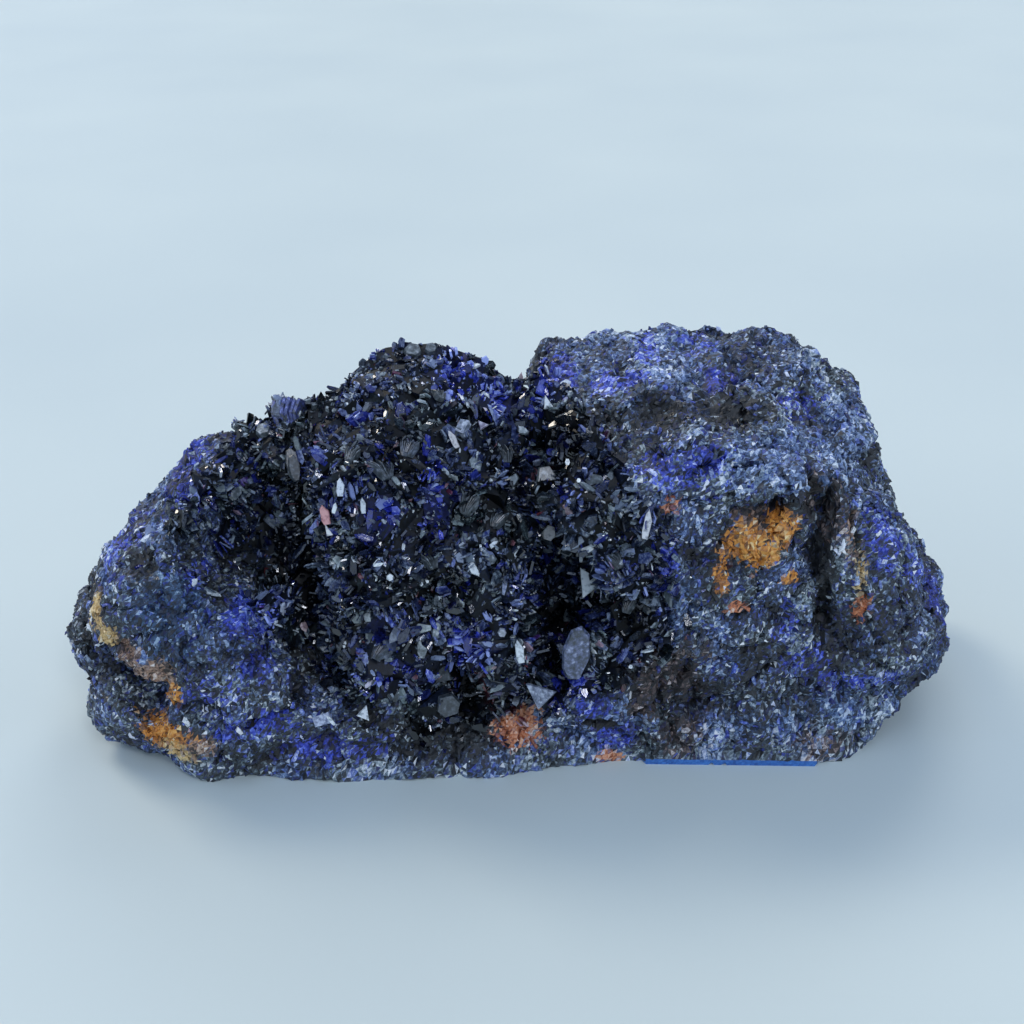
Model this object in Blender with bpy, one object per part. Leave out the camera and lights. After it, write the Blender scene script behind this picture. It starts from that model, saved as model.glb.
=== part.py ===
"""An azurite specimen: a rough block of fine-grained azurite with hollows lined with blades in its front.

Run it with: blender --background --python part.py
Metres, +Z up, +X along the block, the crystal-lined face towards -Y. The origin is in the middle of the
object's bounding box, on the sawn base.
"""

import math
import random

import bmesh
import bpy
from mathutils import Matrix, Vector, noise
from mathutils.bvhtree import BVHTree

MM = 0.001

# Driving sizes, in millimetres. Angles are in degrees.
LENGTH = 75.0  # of the whole specimen along X
FRONT = -13.0  # how far the front of the base stands from the middle, as y at x = 0
SLANT = 0.06  # the front runs back by this much of each millimetre along +X
SKIRT = 2.5  # how far the raw block reaches below the saw cut that makes its base
SAW_EDGE = 0.9  # height of the sawn edge along the front of the base
VOXEL = 0.85  # grain of the fused block before it is thinned to flat facets
ROCK_TRIANGLES = 3700

# The crystal crust: how it lies on the rock, and how its crystals stand.
CRUST_GAP = 0.30
CRUST_PLAY = 0.12  # its underside is modelled this much further off, then trimmed to the gap
CRUST_THICKNESS = 0.55
CRUST_SINK = 1.1  # the rock is lower by this under the crust
CRUST_BACK = 1.6  # the crust ends this far behind the ridge, as y
CRUST_FACING = 0.45  # it covers only ground whose normal has a smaller y than this
CRYSTAL_HEIGHT = (0.3, 1.9)
CRYSTAL_TIP = (0.25, 0.80)  # shares of a crystal's foot that its tip keeps, across and along
CRYSTAL_LEAN = 0.25
CRUST_SEED = 9
PAIR_ANGLES = (35.0, 70.0)  # two facets share a crystal if they bend, and their corners skew, by less
CREASE_ANGLE = 50.0  # in a crease this deep, crystals keep only CREASE_ROOM of their height
CREASE_ROOM = 0.15

# The low blocky lumps of the rest of the rock.
LUMP_SHARE = 0.10  # of the rock's facets
LUMP_HEIGHT = (0.25, 0.8)
LUMP_TIP = (0.60, 0.75)
LUMP_LEAN = 0.3
LUMP_FLOOR = 2.5  # no lump starts lower than this
LUMP_CLEARANCE = 2.0  # from the crust
LUMP_SEED = 5

UNEVENNESS = 0.09  # how far an ellipsoid's skin wanders, as a share of its radius

# A mass is its outline (x, z), scaled about (pivot, 0) at each section: (y, share of width, share of height).
HUMP_PIVOT = 3.5
HUMP_OUTLINE = (
    (-28.0, -SKIRT), (3.5, -SKIRT), (4.5, 25.8), (1.5, 26.4), (-0.6, 27.8), (-2.8, 29.9), (-5.5, 31.0),
    (-8.5, 31.1), (-11.0, 30.0), (-13.4, 28.0), (-16.5, 26.6), (-19.5, 25.5), (-24.4, 24.5), (-27.4, 22.4),
    (-30.2, 18.9), (-32.9, 15.4), (-34.6, 11.5), (-34.0, 6.0), (-30.5, 2.5),
)
HUMP_SECTIONS = (
    (FRONT + 0.5, 0.79, 0.22), (FRONT + 1.3, 0.87, 0.44), (-9.8, 0.94, 0.69), (-6.2, 0.98, 0.88),
    (-2.4, 1.0, 0.98), (0.2, 1.0, 1.0), (3.6, 0.97, 0.90), (7.6, 0.92, 0.74), (11.2, 0.83, 0.55),
    (14.0, 0.66, 0.34),
)
BLOCK_PIVOT = 2.0
BLOCK_OUTLINE = (
    (2.0, -SKIRT), (29.6, -SKIRT), (31.2, 0.6), (33.4, 2.6), (36.2, 4.8), (37.7, 7.6), (36.5, 11.0),
    (33.4, 15.2), (30.6, 18.8), (29.5, 22.2), (28.8, 25.0), (26.8, 27.5), (23.9, 29.3), (19.4, 30.1),
    (13.0, 29.7), (7.5, 29.6), (2.9, 29.2), (2.0, 27.0),
)
BLOCK_SECTIONS = (
    (FRONT + 0.5, 0.79, 0.44), (FRONT + 1.1, 0.85, 0.67), (-10.9, 0.895, 0.81), (-8.6, 0.93, 0.895),
    (-4.6, 0.97, 0.945), (0.4, 1.0, 0.98), (5.0, 0.985, 1.0), (7.2, 0.96, 0.985), (9.2, 0.90, 0.87),
    (11.8, 0.80, 0.66), (14.2, 0.62, 0.38),
)

# Lumps fused to the masses: name, centre, radii, tilt about Y.
LUMPS = (
    ("left_lobe", (-25.2, -7.6, 10.4), (8.4, 6.2, 9.4), 12.0),
    ("far_left_lobe", (-33.4, -3.0, 7.6), (3.7, 4.8, 3.7), -10.0),
    ("low_left_lobe", (-29.8, -6.9, 2.3), (5.0, 3.9, 3.3), 24.0),
    ("hump_face", (-8.4, -6.2, 16.5), (6.6, 5.6, 12.0), -6.0),
    ("hump_foot", (-10.6, -10.2, 6.0), (5.4, 3.4, 5.6), 10.0),
    ("block_brow", (17.4, -8.0, 23.4), (8.8, 3.2, 3.2), 6.0),
    ("block_shoulder", (10.0, -8.4, 17.6), (5.4, 3.9, 8.4), 8.0),
    ("block_flank", (27.6, -7.8, 12.4), (5.2, 4.2, 10.0), -14.0),
    ("left_sill", (-14.0, -9.6, 1.2), (11.0, 3.5, 4.6), 0.0),
    ("middle_sill", (3.4, -9.2, 0.8), (6.6, 3.0, 4.6), 4.0),
    ("right_sill", (18.0, -8.2, 1.4), (11.0, 3.1, 6.2), 0.0),
)

# Hollows cut into the front and the ridge: name, centre, radii, tilt about Y.
HOLLOWS = (
    ("left_vug", (-19.4, -11.4, 18.6), (5.7, 9.0, 6.2), 32.0),
    ("left_cleft", (-15.6, -13.2, 13.4), (2.9, 8.6, 8.8), -6.0),
    ("saddle", (0.9, 2.0, 30.8), (1.9, 14.0, 4.2), 0.0),
    ("saddle_cleft", (2.2, -10.5, 25.2), (2.4, 9.0, 5.0), 8.0),
    ("middle_vug", (4.2, -13.2, 14.0), (3.9, 9.6, 8.6), -5.0),
    ("low_hollow", (-4.2, -14.6, 6.9), (2.7, 5.6, 3.4), 34.0),
    ("block_basin", (9.4, -15.6, 13.0), (5.4, 4.4, 8.0), 10.0),
    ("brown_alcove", (12.6, -15.2, 5.0), (3.6, 4.0, 3.4), 0.0),
    ("brow_recess", (19.0, -15.6, 26.0), (7.4, 5.4, 3.2), 12.0),
    ("lobe_seam", (-30.4, -12.8, 8.4), (1.4, 5.2, 5.8), -46.0),
    ("lobe_notch", (-36.4, -5.0, 3.0), (3.0, 4.4, 1.1), 12.0),
    ("edge_notch", (31.0, -4.6, 22.6), (1.5, 2.8, 1.8), 0.0),
)

# The slit and small pits, cut last so that they keep their size: name, centre, radii, tilt about Y.
PITS = (
    ("block_slit", (23.2, -12.2, 19.6), (1.35, 5.4, 6.4), 8.0),
    ("round_pit", (13.6, -10.8, 24.6), (0.75, 2.4, 0.55), 0.0),
    ("lobe_pit", (-29.6, -10.6, 13.6), (0.9, 2.2, 0.8), 20.0),
    ("sill_pit", (8.6, -13.6, 2.6), (1.5, 2.6, 0.8), 5.0),
)

# Where the crust lies: its outline seen from the front, as (x, z).
CRUST_OUTLINE = (
    (-26.4, 20.0), (-23.2, 23.6), (-18.6, 26.6), (-14.0, 28.4), (-10.4, 31.0), (-6.4, 32.0), (-2.2, 30.6),
    (1.2, 28.8), (4.6, 28.2), (8.0, 25.6), (10.6, 22.0), (12.2, 17.6), (12.0, 12.4), (10.2, 9.0), (6.6, 6.2),
    (2.4, 6.4), (-1.0, 4.2), (-6.4, 3.4), (-12.0, 5.2), (-16.2, 6.8), (-18.6, 11.4), (-22.0, 15.2),
)

# Crystals that stand out from the crust: name, root, direction, (length, width, thickness), turn.
CRYSTALS = (
    ("round_blade", (5.6, -11.0, 6.6), (0.05, -0.25, 1.0), (6.4, 3.4, 1.3), 4.0),
    ("leaning_blade", (3.6, -11.8, 5.6), (-0.55, -0.25, 0.80), (4.4, 3.6, 1.1), -20.0),
    ("oval_plate", (-17.2, -6.2, 20.2), (-0.15, -0.45, 1.0), (3.4, 1.7, 0.7), 10.0),
    ("grey_plate", (3.0, -7.2, 20.6), (-0.10, -0.55, 1.0), (4.0, 2.4, 0.8), 15.0),
    ("ridge_prism", (-17.4, -1.0, 24.6), (-0.05, -0.10, 1.0), (3.2, 2.4, 1.8), 0.0),
    ("rim_knob", (-19.2, -1.6, 23.6), (-0.20, -0.30, 1.0), (2.6, 2.0, 1.5), 30.0),
    ("low_block", (-6.4, -12.2, 5.0), (0.25, -0.55, 0.8), (3.4, 3.0, 1.8), 25.0),
    ("foot_plate", (-15.0, -11.0, 9.6), (0.05, -0.45, 1.0), (3.6, 1.9, 0.8), -8.0),
    ("light_blade", (0.4, -11.6, 9.0), (-0.05, -0.40, 1.0), (3.4, 1.6, 0.8), 10.0),
)

MATERIALS = {  # base colour, roughness
    "azurite_rock": ((0.045, 0.060, 0.150, 1.0), 0.65),
    "crystal_crust": ((0.010, 0.012, 0.028, 1.0), 0.15),
}


def mm(point):
    """The point, given in millimetres, in metres."""
    return Vector(point) * MM


def object_from(name, work):
    """Turns a bmesh into an object."""
    mesh = bpy.data.meshes.new(name)
    work.to_mesh(mesh)
    work.free()
    made = bpy.data.objects.new(name, mesh)
    bpy.context.scene.collection.objects.link(made)
    return made


def applied(obj):
    """Replaces the object's mesh with what its modifiers make of it."""
    graph = bpy.context.evaluated_depsgraph_get()
    made = bpy.data.meshes.new_from_object(obj.evaluated_get(graph))
    obj.modifiers.clear()
    obj.data = made
    return obj


def removed(objects):
    """Removes helper objects."""
    for obj in objects:
        bpy.data.objects.remove(obj)


def with_boolean(obj, other, operation, solver="EXACT"):
    """Adds, or takes away, the other object, and removes it.

    EXACT lets the other's shells overlap each other. Crystals that grow into their neighbours have to be
    joined with MANIFOLD, where EXACT leaves edges with more than two faces.
    """
    step = obj.modifiers.new(other.name, "BOOLEAN")
    step.operation = operation
    step.object = other
    step.solver = solver
    step.use_self = True
    applied(obj)
    removed([other])
    return obj


def lofted(name, outline, pivot, sections):
    """A mass with the same outline at each section along Y, scaled about the pivot as the section says."""
    work = bmesh.new()
    loops = []
    for y, width, height in sections:
        ring = []
        for x, z in outline:
            across = pivot + (x - pivot) * width
            ring.append(work.verts.new(mm((across, y + SLANT * across, z * height if z > 0 else z))))
        loops.append(ring)
    count = len(outline)
    for near, far in zip(loops, loops[1:]):
        for i in range(count):
            j = (i + 1) % count
            work.faces.new((near[i], near[j], far[j], far[i]))
    work.faces.new(loops[0])
    work.faces.new(loops[-1])
    bmesh.ops.recalc_face_normals(work, faces=work.faces)
    return object_from(name, work)


def ellipsoid(name, centre, radii, tilt, subdivisions=3):
    """A faceted ellipsoid, tilted about Y and roughened so that no two are alike."""
    work = bmesh.new()
    bmesh.ops.create_icosphere(work, subdivisions=subdivisions, radius=1.0)
    for vertex in work.verts:
        vertex.co *= 1 + UNEVENNESS * noise.noise(vertex.co * 1.7 + Vector(centre))
    turn = Matrix.Rotation(math.radians(tilt), 4, "Y")
    work.transform(Matrix.Translation(mm(centre)) @ turn @ Matrix.Diagonal((*mm(radii), 1)))
    return object_from(name, work)


def merged(name, pieces):
    """The pieces as one object whose shells still overlap."""
    work = bmesh.new()
    for piece in pieces:
        work.from_mesh(piece.data)
    removed(pieces)
    return object_from(name, work)


def remeshed(obj):
    """One closed skin round everything the object holds, as a grid of VOXEL squares."""
    remesh = obj.modifiers.new("Remesh", "REMESH")
    remesh.mode = "VOXEL"
    remesh.voxel_size = VOXEL * MM
    return applied(obj)


def inside(outline, x, z):
    """True if (x, z) is inside the outline, all in millimetres."""
    found = False
    for (ax, az), (bx, bz) in zip(outline, outline[1:] + outline[:1]):
        if (az > z) != (bz > z) and x < ax + (z - az) * (bx - ax) / (bz - az):
            found = not found
    return found


def under_crust(point, normal):
    """True where the crust covers the rock: inside its outline, and facing forwards or up."""
    x, y, z = point / MM
    return y < CRUST_BACK and normal.y < CRUST_FACING and inside(CRUST_OUTLINE, x, z)


def roughness_at(point):
    """How far the broken rock stands out at a point, in millimetres: swells, knobs and sharp ledges."""
    p = point / MM
    swell = 0.85 * noise.noise(p / 7.5)
    knobs = 0.60 * noise.noise(p / 3.1 + Vector((9, 2, 5)))
    ledges = 0.50 * (noise.ridged_multi_fractal(p / 9.0, 1.0, 2.1, 3, 1.0, 2.0) - 1.0)
    return swell + knobs + ledges


def roughen(obj):
    """Moves the block's skin by roughness_at, and sinks it where the crust will lie."""
    mesh = obj.data
    normals = [vertex.normal.copy() for vertex in mesh.vertices]
    for vertex, normal in zip(mesh.vertices, normals):
        lift = roughness_at(vertex.co)
        if under_crust(vertex.co, normal):
            lift -= CRUST_SINK
        vertex.co += normal * lift * MM


def thin_to(obj, triangles):
    """Collapses edges until about this many triangles are left."""
    mesh = obj.data
    mesh.calc_loop_triangles()
    thin = obj.modifiers.new("Decimate", "DECIMATE")
    thin.ratio = triangles / len(mesh.loop_triangles)
    thin.use_collapse_triangulate = True
    return applied(obj)


def saw_cutter():
    """What the saw took: all below z = 0, and a low step in front of the base's straight front edge."""
    reach = 2 * LENGTH
    step = ((reach, 0.0), (0.0, 0.0), (0.0, SAW_EDGE), (-reach, SAW_EDGE))
    profile = ((-reach, -reach), (reach, -reach), *step)
    work = bmesh.new()
    ends = []
    for across in (-reach, reach):
        ends.append([
            work.verts.new(mm((across, FRONT + SLANT * across + forward, height)))
            for forward, height in profile
        ])
    for i, _ in enumerate(profile):
        j = (i + 1) % len(profile)
        work.faces.new((ends[0][i], ends[0][j], ends[1][j], ends[1][i]))
    work.faces.new(ends[0])
    work.faces.new(ends[1])
    bmesh.ops.recalc_face_normals(work, faces=work.faces)
    return object_from("saw", work)


def blade(length, width, thickness):
    """A flat-faced blade along +Z as a bmesh: a tablet with a chisel end, its root at the origin."""
    half, thin = width / 2, thickness / 2
    ring = ((half, thin), (-half, thin), (-half, -thin), (half, -thin))
    points = [(x * spread, y, z) for z, spread in ((0.0, 0.75), (length * 0.66, 1.0)) for x, y in ring]
    points += [(half * 0.62, 0, length * 0.93), (-half * 0.30, 0, length)]
    work = bmesh.new()
    for point in points:
        work.verts.new(mm(point))
    bmesh.ops.convex_hull(work, input=work.verts)
    bmesh.ops.recalc_face_normals(work, faces=work.faces)
    return work


def placed(work, root, direction, turn):
    """Stands a crystal made along +Z at its root, along the direction, after a turn about itself."""
    toward = direction.to_track_quat("Z", "Y").to_matrix().to_4x4()
    work.transform(Matrix.Translation(root) @ toward @ Matrix.Rotation(turn, 4, "Z"))
    return work


def gathered(name, crystals):
    """One object of many crystals, each its own closed shell."""
    grown = bmesh.new()
    for crystal in crystals:
        shape = bpy.data.meshes.new(name)
        crystal.to_mesh(shape)
        crystal.free()
        grown.from_mesh(shape)
        bpy.data.meshes.remove(shape)
    return object_from(name, grown)


def room_above(face):
    """How freely a crystal can rise from the face: 1 on flat or domed ground, less in a crease."""
    crease = min(edge.calc_face_angle_signed(0.0) for edge in face.edges)
    return max(CREASE_ROOM, 1 + min(crease, 0.0) / math.radians(CREASE_ANGLE))


def grow(work, faces, height, tip, lean, draw):
    """Raises a flat-topped crystal on each face; its tip keeps a share of its foot across and along."""
    work.normal_update()
    room = [room_above(face) for face in faces]
    raised = bmesh.ops.extrude_discrete_faces(work, faces=faces)["faces"]
    for face, free in zip(raised, room):
        face.normal_update()
        centre = face.calc_center_median()
        along = (face.verts[1].co - face.verts[0].co).normalized()
        aslant = Vector([draw.uniform(-lean, lean) for _ in range(3)])
        rise = (face.normal + aslant) * draw.uniform(*height) * MM
        for vertex in face.verts:
            offset = vertex.co - centre
            length = along * offset.dot(along)
            vertex.co = centre + rise * free + length * tip[1] + (offset - length) * tip[0]


def largest_shell(obj):
    """Removes all but the largest connected shell of the object."""
    work = bmesh.new()
    work.from_mesh(obj.data)
    left = set(work.faces)
    shells = []
    while left:
        todo = [left.pop()]
        shell = list(todo)
        while todo:
            for edge in todo.pop().edges:
                near = [face for face in edge.link_faces if face in left]
                left.difference_update(near)
                todo += near
                shell += near
        shells.append(shell)
    shells.sort(key=len)
    for shell in shells[:-1]:
        bmesh.ops.delete(work, geom=shell, context="FACES")
    work.to_mesh(obj.data)
    work.free()
    return obj


def lifted(obj, by, name):
    """A copy of the object whose skin stands out by this many millimetres."""
    work = bmesh.new()
    work.from_mesh(obj.data)
    work.normal_update()
    outward = [vertex.normal.copy() for vertex in work.verts]
    for vertex, normal in zip(work.verts, outward):
        vertex.co += normal * by * MM
    return object_from(name, work)


def unpinched(work):
    """Removes faces until the patch's border never touches itself at a vertex."""
    pinched = True
    while pinched:
        pinched = [v for v in work.verts if sum(edge.is_boundary for edge in v.link_edges) > 2]
        faces = list({face for vertex in pinched for face in vertex.link_faces})
        bmesh.ops.delete(work, geom=faces, context="FACES")
    bmesh.ops.delete(work, geom=[v for v in work.verts if not v.link_faces], context="VERTS")


def crust_patch(rock):
    """The rock's skin inside the crust's outline, lifted off it."""
    work = bmesh.new()
    work.from_mesh(rock.data)
    work.normal_update()
    outward = {vertex: vertex.normal.copy() for vertex in work.verts}
    bare = [face for face in work.faces if not under_crust(face.calc_center_median(), face.normal)]
    bmesh.ops.delete(work, geom=bare, context="FACES")
    unpinched(work)
    for vertex in work.verts:
        vertex.co += outward[vertex] * (CRUST_GAP + CRUST_PLAY) * MM
    return largest_shell(object_from("crystal_crust", work))


def crust_sheet(rock):
    """The crust's body: the patch made thick outwards, with a crystal raised on each of its outer faces."""
    patch = crust_patch(rock)
    outer = len(patch.data.polygons)
    thicken = patch.modifiers.new("Solidify", "SOLIDIFY")
    thicken.thickness = CRUST_THICKNESS * MM
    thicken.offset = 1.0
    applied(patch)
    work = bmesh.new()
    work.from_mesh(patch.data)
    work.faces.ensure_lookup_table()
    bend, skew = (math.radians(angle) for angle in PAIR_ANGLES)
    skin = bmesh.ops.join_triangles(
        work, faces=work.faces[:outer], angle_face_threshold=bend, angle_shape_threshold=skew
    )["faces"]
    grow(work, skin, CRYSTAL_HEIGHT, CRYSTAL_TIP, CRYSTAL_LEAN, random.Random(CRUST_SEED))
    work.to_mesh(patch.data)
    work.free()
    return patch


def make_block():
    """The block: two masses and their lumps fused, hollowed, roughened and thinned to flat facets."""
    masses = [
        lofted("hump", HUMP_OUTLINE, HUMP_PIVOT, HUMP_SECTIONS),
        lofted("block", BLOCK_OUTLINE, BLOCK_PIVOT, BLOCK_SECTIONS),
    ]
    rock = remeshed(merged("azurite_rock", masses + [ellipsoid(*lump) for lump in LUMPS]))
    with_boolean(rock, merged("hollows", [ellipsoid(*hollow) for hollow in HOLLOWS]), "DIFFERENCE")
    remeshed(rock)
    roughen(rock)
    thin_to(rock, ROCK_TRIANGLES)
    return largest_shell(rock)


def make_crust(rock):
    """The crust in the hollows: a sheet of crystals that follows the rock, and the larger ones by name."""
    standing = [
        placed(blade(*size), mm(root), Vector(direction), math.radians(turn))
        for _, root, direction, size, turn in CRYSTALS
    ]
    crust = with_boolean(crust_sheet(rock), gathered("standing", standing), "UNION", "MANIFOLD")
    with_boolean(crust, lifted(rock, CRUST_GAP, "clearance"), "DIFFERENCE", "MANIFOLD")
    return largest_shell(crust)


def add_lumps(rock, crust):
    """Raises low blocky lumps on facets of the rock that are clear of the crust and the sawn base."""
    draw = random.Random(LUMP_SEED)
    tree = BVHTree.FromPolygons(
        [vertex.co for vertex in crust.data.vertices], [list(face.vertices) for face in crust.data.polygons]
    )
    work = bmesh.new()
    work.from_mesh(rock.data)
    free = []
    for face in work.faces:
        middle = face.calc_center_median()
        if middle.z > LUMP_FLOOR * MM and tree.find_nearest(middle)[3] > LUMP_CLEARANCE * MM:
            free.append(face)
    grow(work, draw.sample(free, round(len(free) * LUMP_SHARE)), LUMP_HEIGHT, LUMP_TIP, LUMP_LEAN, draw)
    work.to_mesh(rock.data)
    work.free()


def cut_details(rock):
    """Cuts the slit and the pits, and saws the base flat."""
    pits = merged("pits", [ellipsoid(*pit, subdivisions=1) for pit in PITS])
    with_boolean(rock, pits, "DIFFERENCE", "MANIFOLD")
    with_boolean(rock, saw_cutter(), "DIFFERENCE", "MANIFOLD")
    return largest_shell(rock)


def triangulated(obj):
    """Splits the object's faces into triangles, so that every facet is flat."""
    work = bmesh.new()
    work.from_mesh(obj.data)
    spare = [vertex for vertex in work.verts if len(vertex.link_edges) == 2]
    bmesh.ops.dissolve_verts(work, verts=spare)
    bmesh.ops.triangulate(work, faces=work.faces)
    work.to_mesh(obj.data)
    work.free()


def settled(objects):
    """Scales the meshes together to LENGTH, and moves the middle of their common box to x = y = 0."""
    points = [vertex.co for obj in objects for vertex in obj.data.vertices]
    low, high = ([pick(p[axis] for p in points) for axis in (0, 1)] for pick in (min, max))
    middle = Vector(((low[0] + high[0]) / 2, (low[1] + high[1]) / 2, 0.0))
    scale = LENGTH * MM / (high[0] - low[0])
    for obj in objects:
        obj.data.transform(Matrix.Scale(scale, 4) @ Matrix.Translation(-middle))


def dress(obj):
    """Gives the object the material named after it."""
    colour, roughness = MATERIALS[obj.name]
    made = bpy.data.materials.new(obj.name)
    made.use_nodes = True
    shader = made.node_tree.nodes["Principled BSDF"]
    shader.inputs["Base Color"].default_value = colour
    shader.inputs["Roughness"].default_value = roughness
    shader.inputs["Metallic"].default_value = 0.0
    obj.data.materials.clear()
    obj.data.materials.append(made)


def main():
    removed(list(bpy.data.objects))
    rock = make_block()
    crust = make_crust(rock)
    cut_details(rock)
    add_lumps(rock, crust)
    for obj in (rock, crust):
        triangulated(obj)
        dress(obj)
    settled((rock, crust))


main()
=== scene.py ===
"""The azurite specimen dressed for the eye: a sawn block of massive azurite with a druse of blades in its hollows.

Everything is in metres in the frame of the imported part, +Z up, +X along the block, the druse towards -Y.
Sizes inside the classes are in millimetres, the unit that a collector measures crystals in, and turn into
metres where a mesh is made.
"""

import logging
import math
from collections.abc import Iterable, Sequence
from dataclasses import dataclass, field
from enum import Enum

import bmesh
import bpy
import numpy as np
from mathutils import Matrix, Vector, noise
from mathutils.bvhtree import BVHTree


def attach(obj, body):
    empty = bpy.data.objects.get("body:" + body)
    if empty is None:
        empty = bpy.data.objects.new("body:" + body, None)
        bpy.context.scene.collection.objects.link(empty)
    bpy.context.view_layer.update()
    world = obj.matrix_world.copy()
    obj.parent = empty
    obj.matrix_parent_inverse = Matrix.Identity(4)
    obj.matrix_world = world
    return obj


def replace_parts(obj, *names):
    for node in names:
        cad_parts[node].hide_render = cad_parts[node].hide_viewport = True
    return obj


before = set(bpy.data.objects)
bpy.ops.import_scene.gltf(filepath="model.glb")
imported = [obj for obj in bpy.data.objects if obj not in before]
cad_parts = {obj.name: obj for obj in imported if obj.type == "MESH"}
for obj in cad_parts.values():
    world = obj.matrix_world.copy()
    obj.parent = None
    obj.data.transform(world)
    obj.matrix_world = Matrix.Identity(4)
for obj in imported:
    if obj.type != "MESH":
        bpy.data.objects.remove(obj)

logging.basicConfig(level=logging.INFO, format="%(message)s")
log = logging.getLogger("azurite")

MM = 0.001
BODY = "root"
TINY = 1e-12  # keeps a division from being by zero

Triple = tuple[float, float, float]
Span = tuple[float, float]
Array = np.ndarray


class Tone(Enum):
    """What the mineral is like at a place, apart from plain massive azurite, and where light or shade is painted on it.
    """

    ROYAL = "royal"  # fine-grained azurite that shows its full blue
    LIMONITE = "limonite"  # yellow-brown iron stain
    RUST = "rust"  # the redder iron stain
    STRAW = "straw"  # the palest iron stain, yellow as straw
    CLAY = "clay"  # pinkish brown clay
    UMBER = "umber"  # dull brown-black earthy matrix
    PAINTED_SHADE = "shade"  # painted shade: dark grains painted into recesses, holes, clefts and hollows
    PAINTED_LIGHT = "pale"  # painted light: lighter grey-blue painted where tops and faces catch the light, for sparkle and sheen
    TEAL = "teal"  # smoother skin with a greenish cast
    SAWN = "sawn"  # where the saw cut
    DRUSE = "druse"  # a hollow's wall that carries blades beside the crust


STAINS = (Tone.LIMONITE, Tone.RUST, Tone.STRAW, Tone.CLAY)


@dataclass(frozen=True)
class Patch:
    """A named place where the mineral has a tone: an ellipsoid with a ragged edge.

    Attributes:
        name: What a collector would call the place.
        tone: What the mineral is like there, or which light or shade is painted there.
        centre: Its middle, in millimetres.
        radii: Its half sizes along X, Y and Z, in millimetres.
        strength: How much of the tone its middle has, from 0 to 1.
    """

    name: str
    tone: Tone
    centre: Triple
    radii: Triple
    strength: float


def patches(tone: Tone, *rows: tuple[str, Triple, Triple, float]) -> list[Patch]:
    """Patches of one tone, each from its name, middle, half sizes and strength."""
    return [Patch(name, tone, centre, radii, strength) for name, centre, radii, strength in rows]


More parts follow.
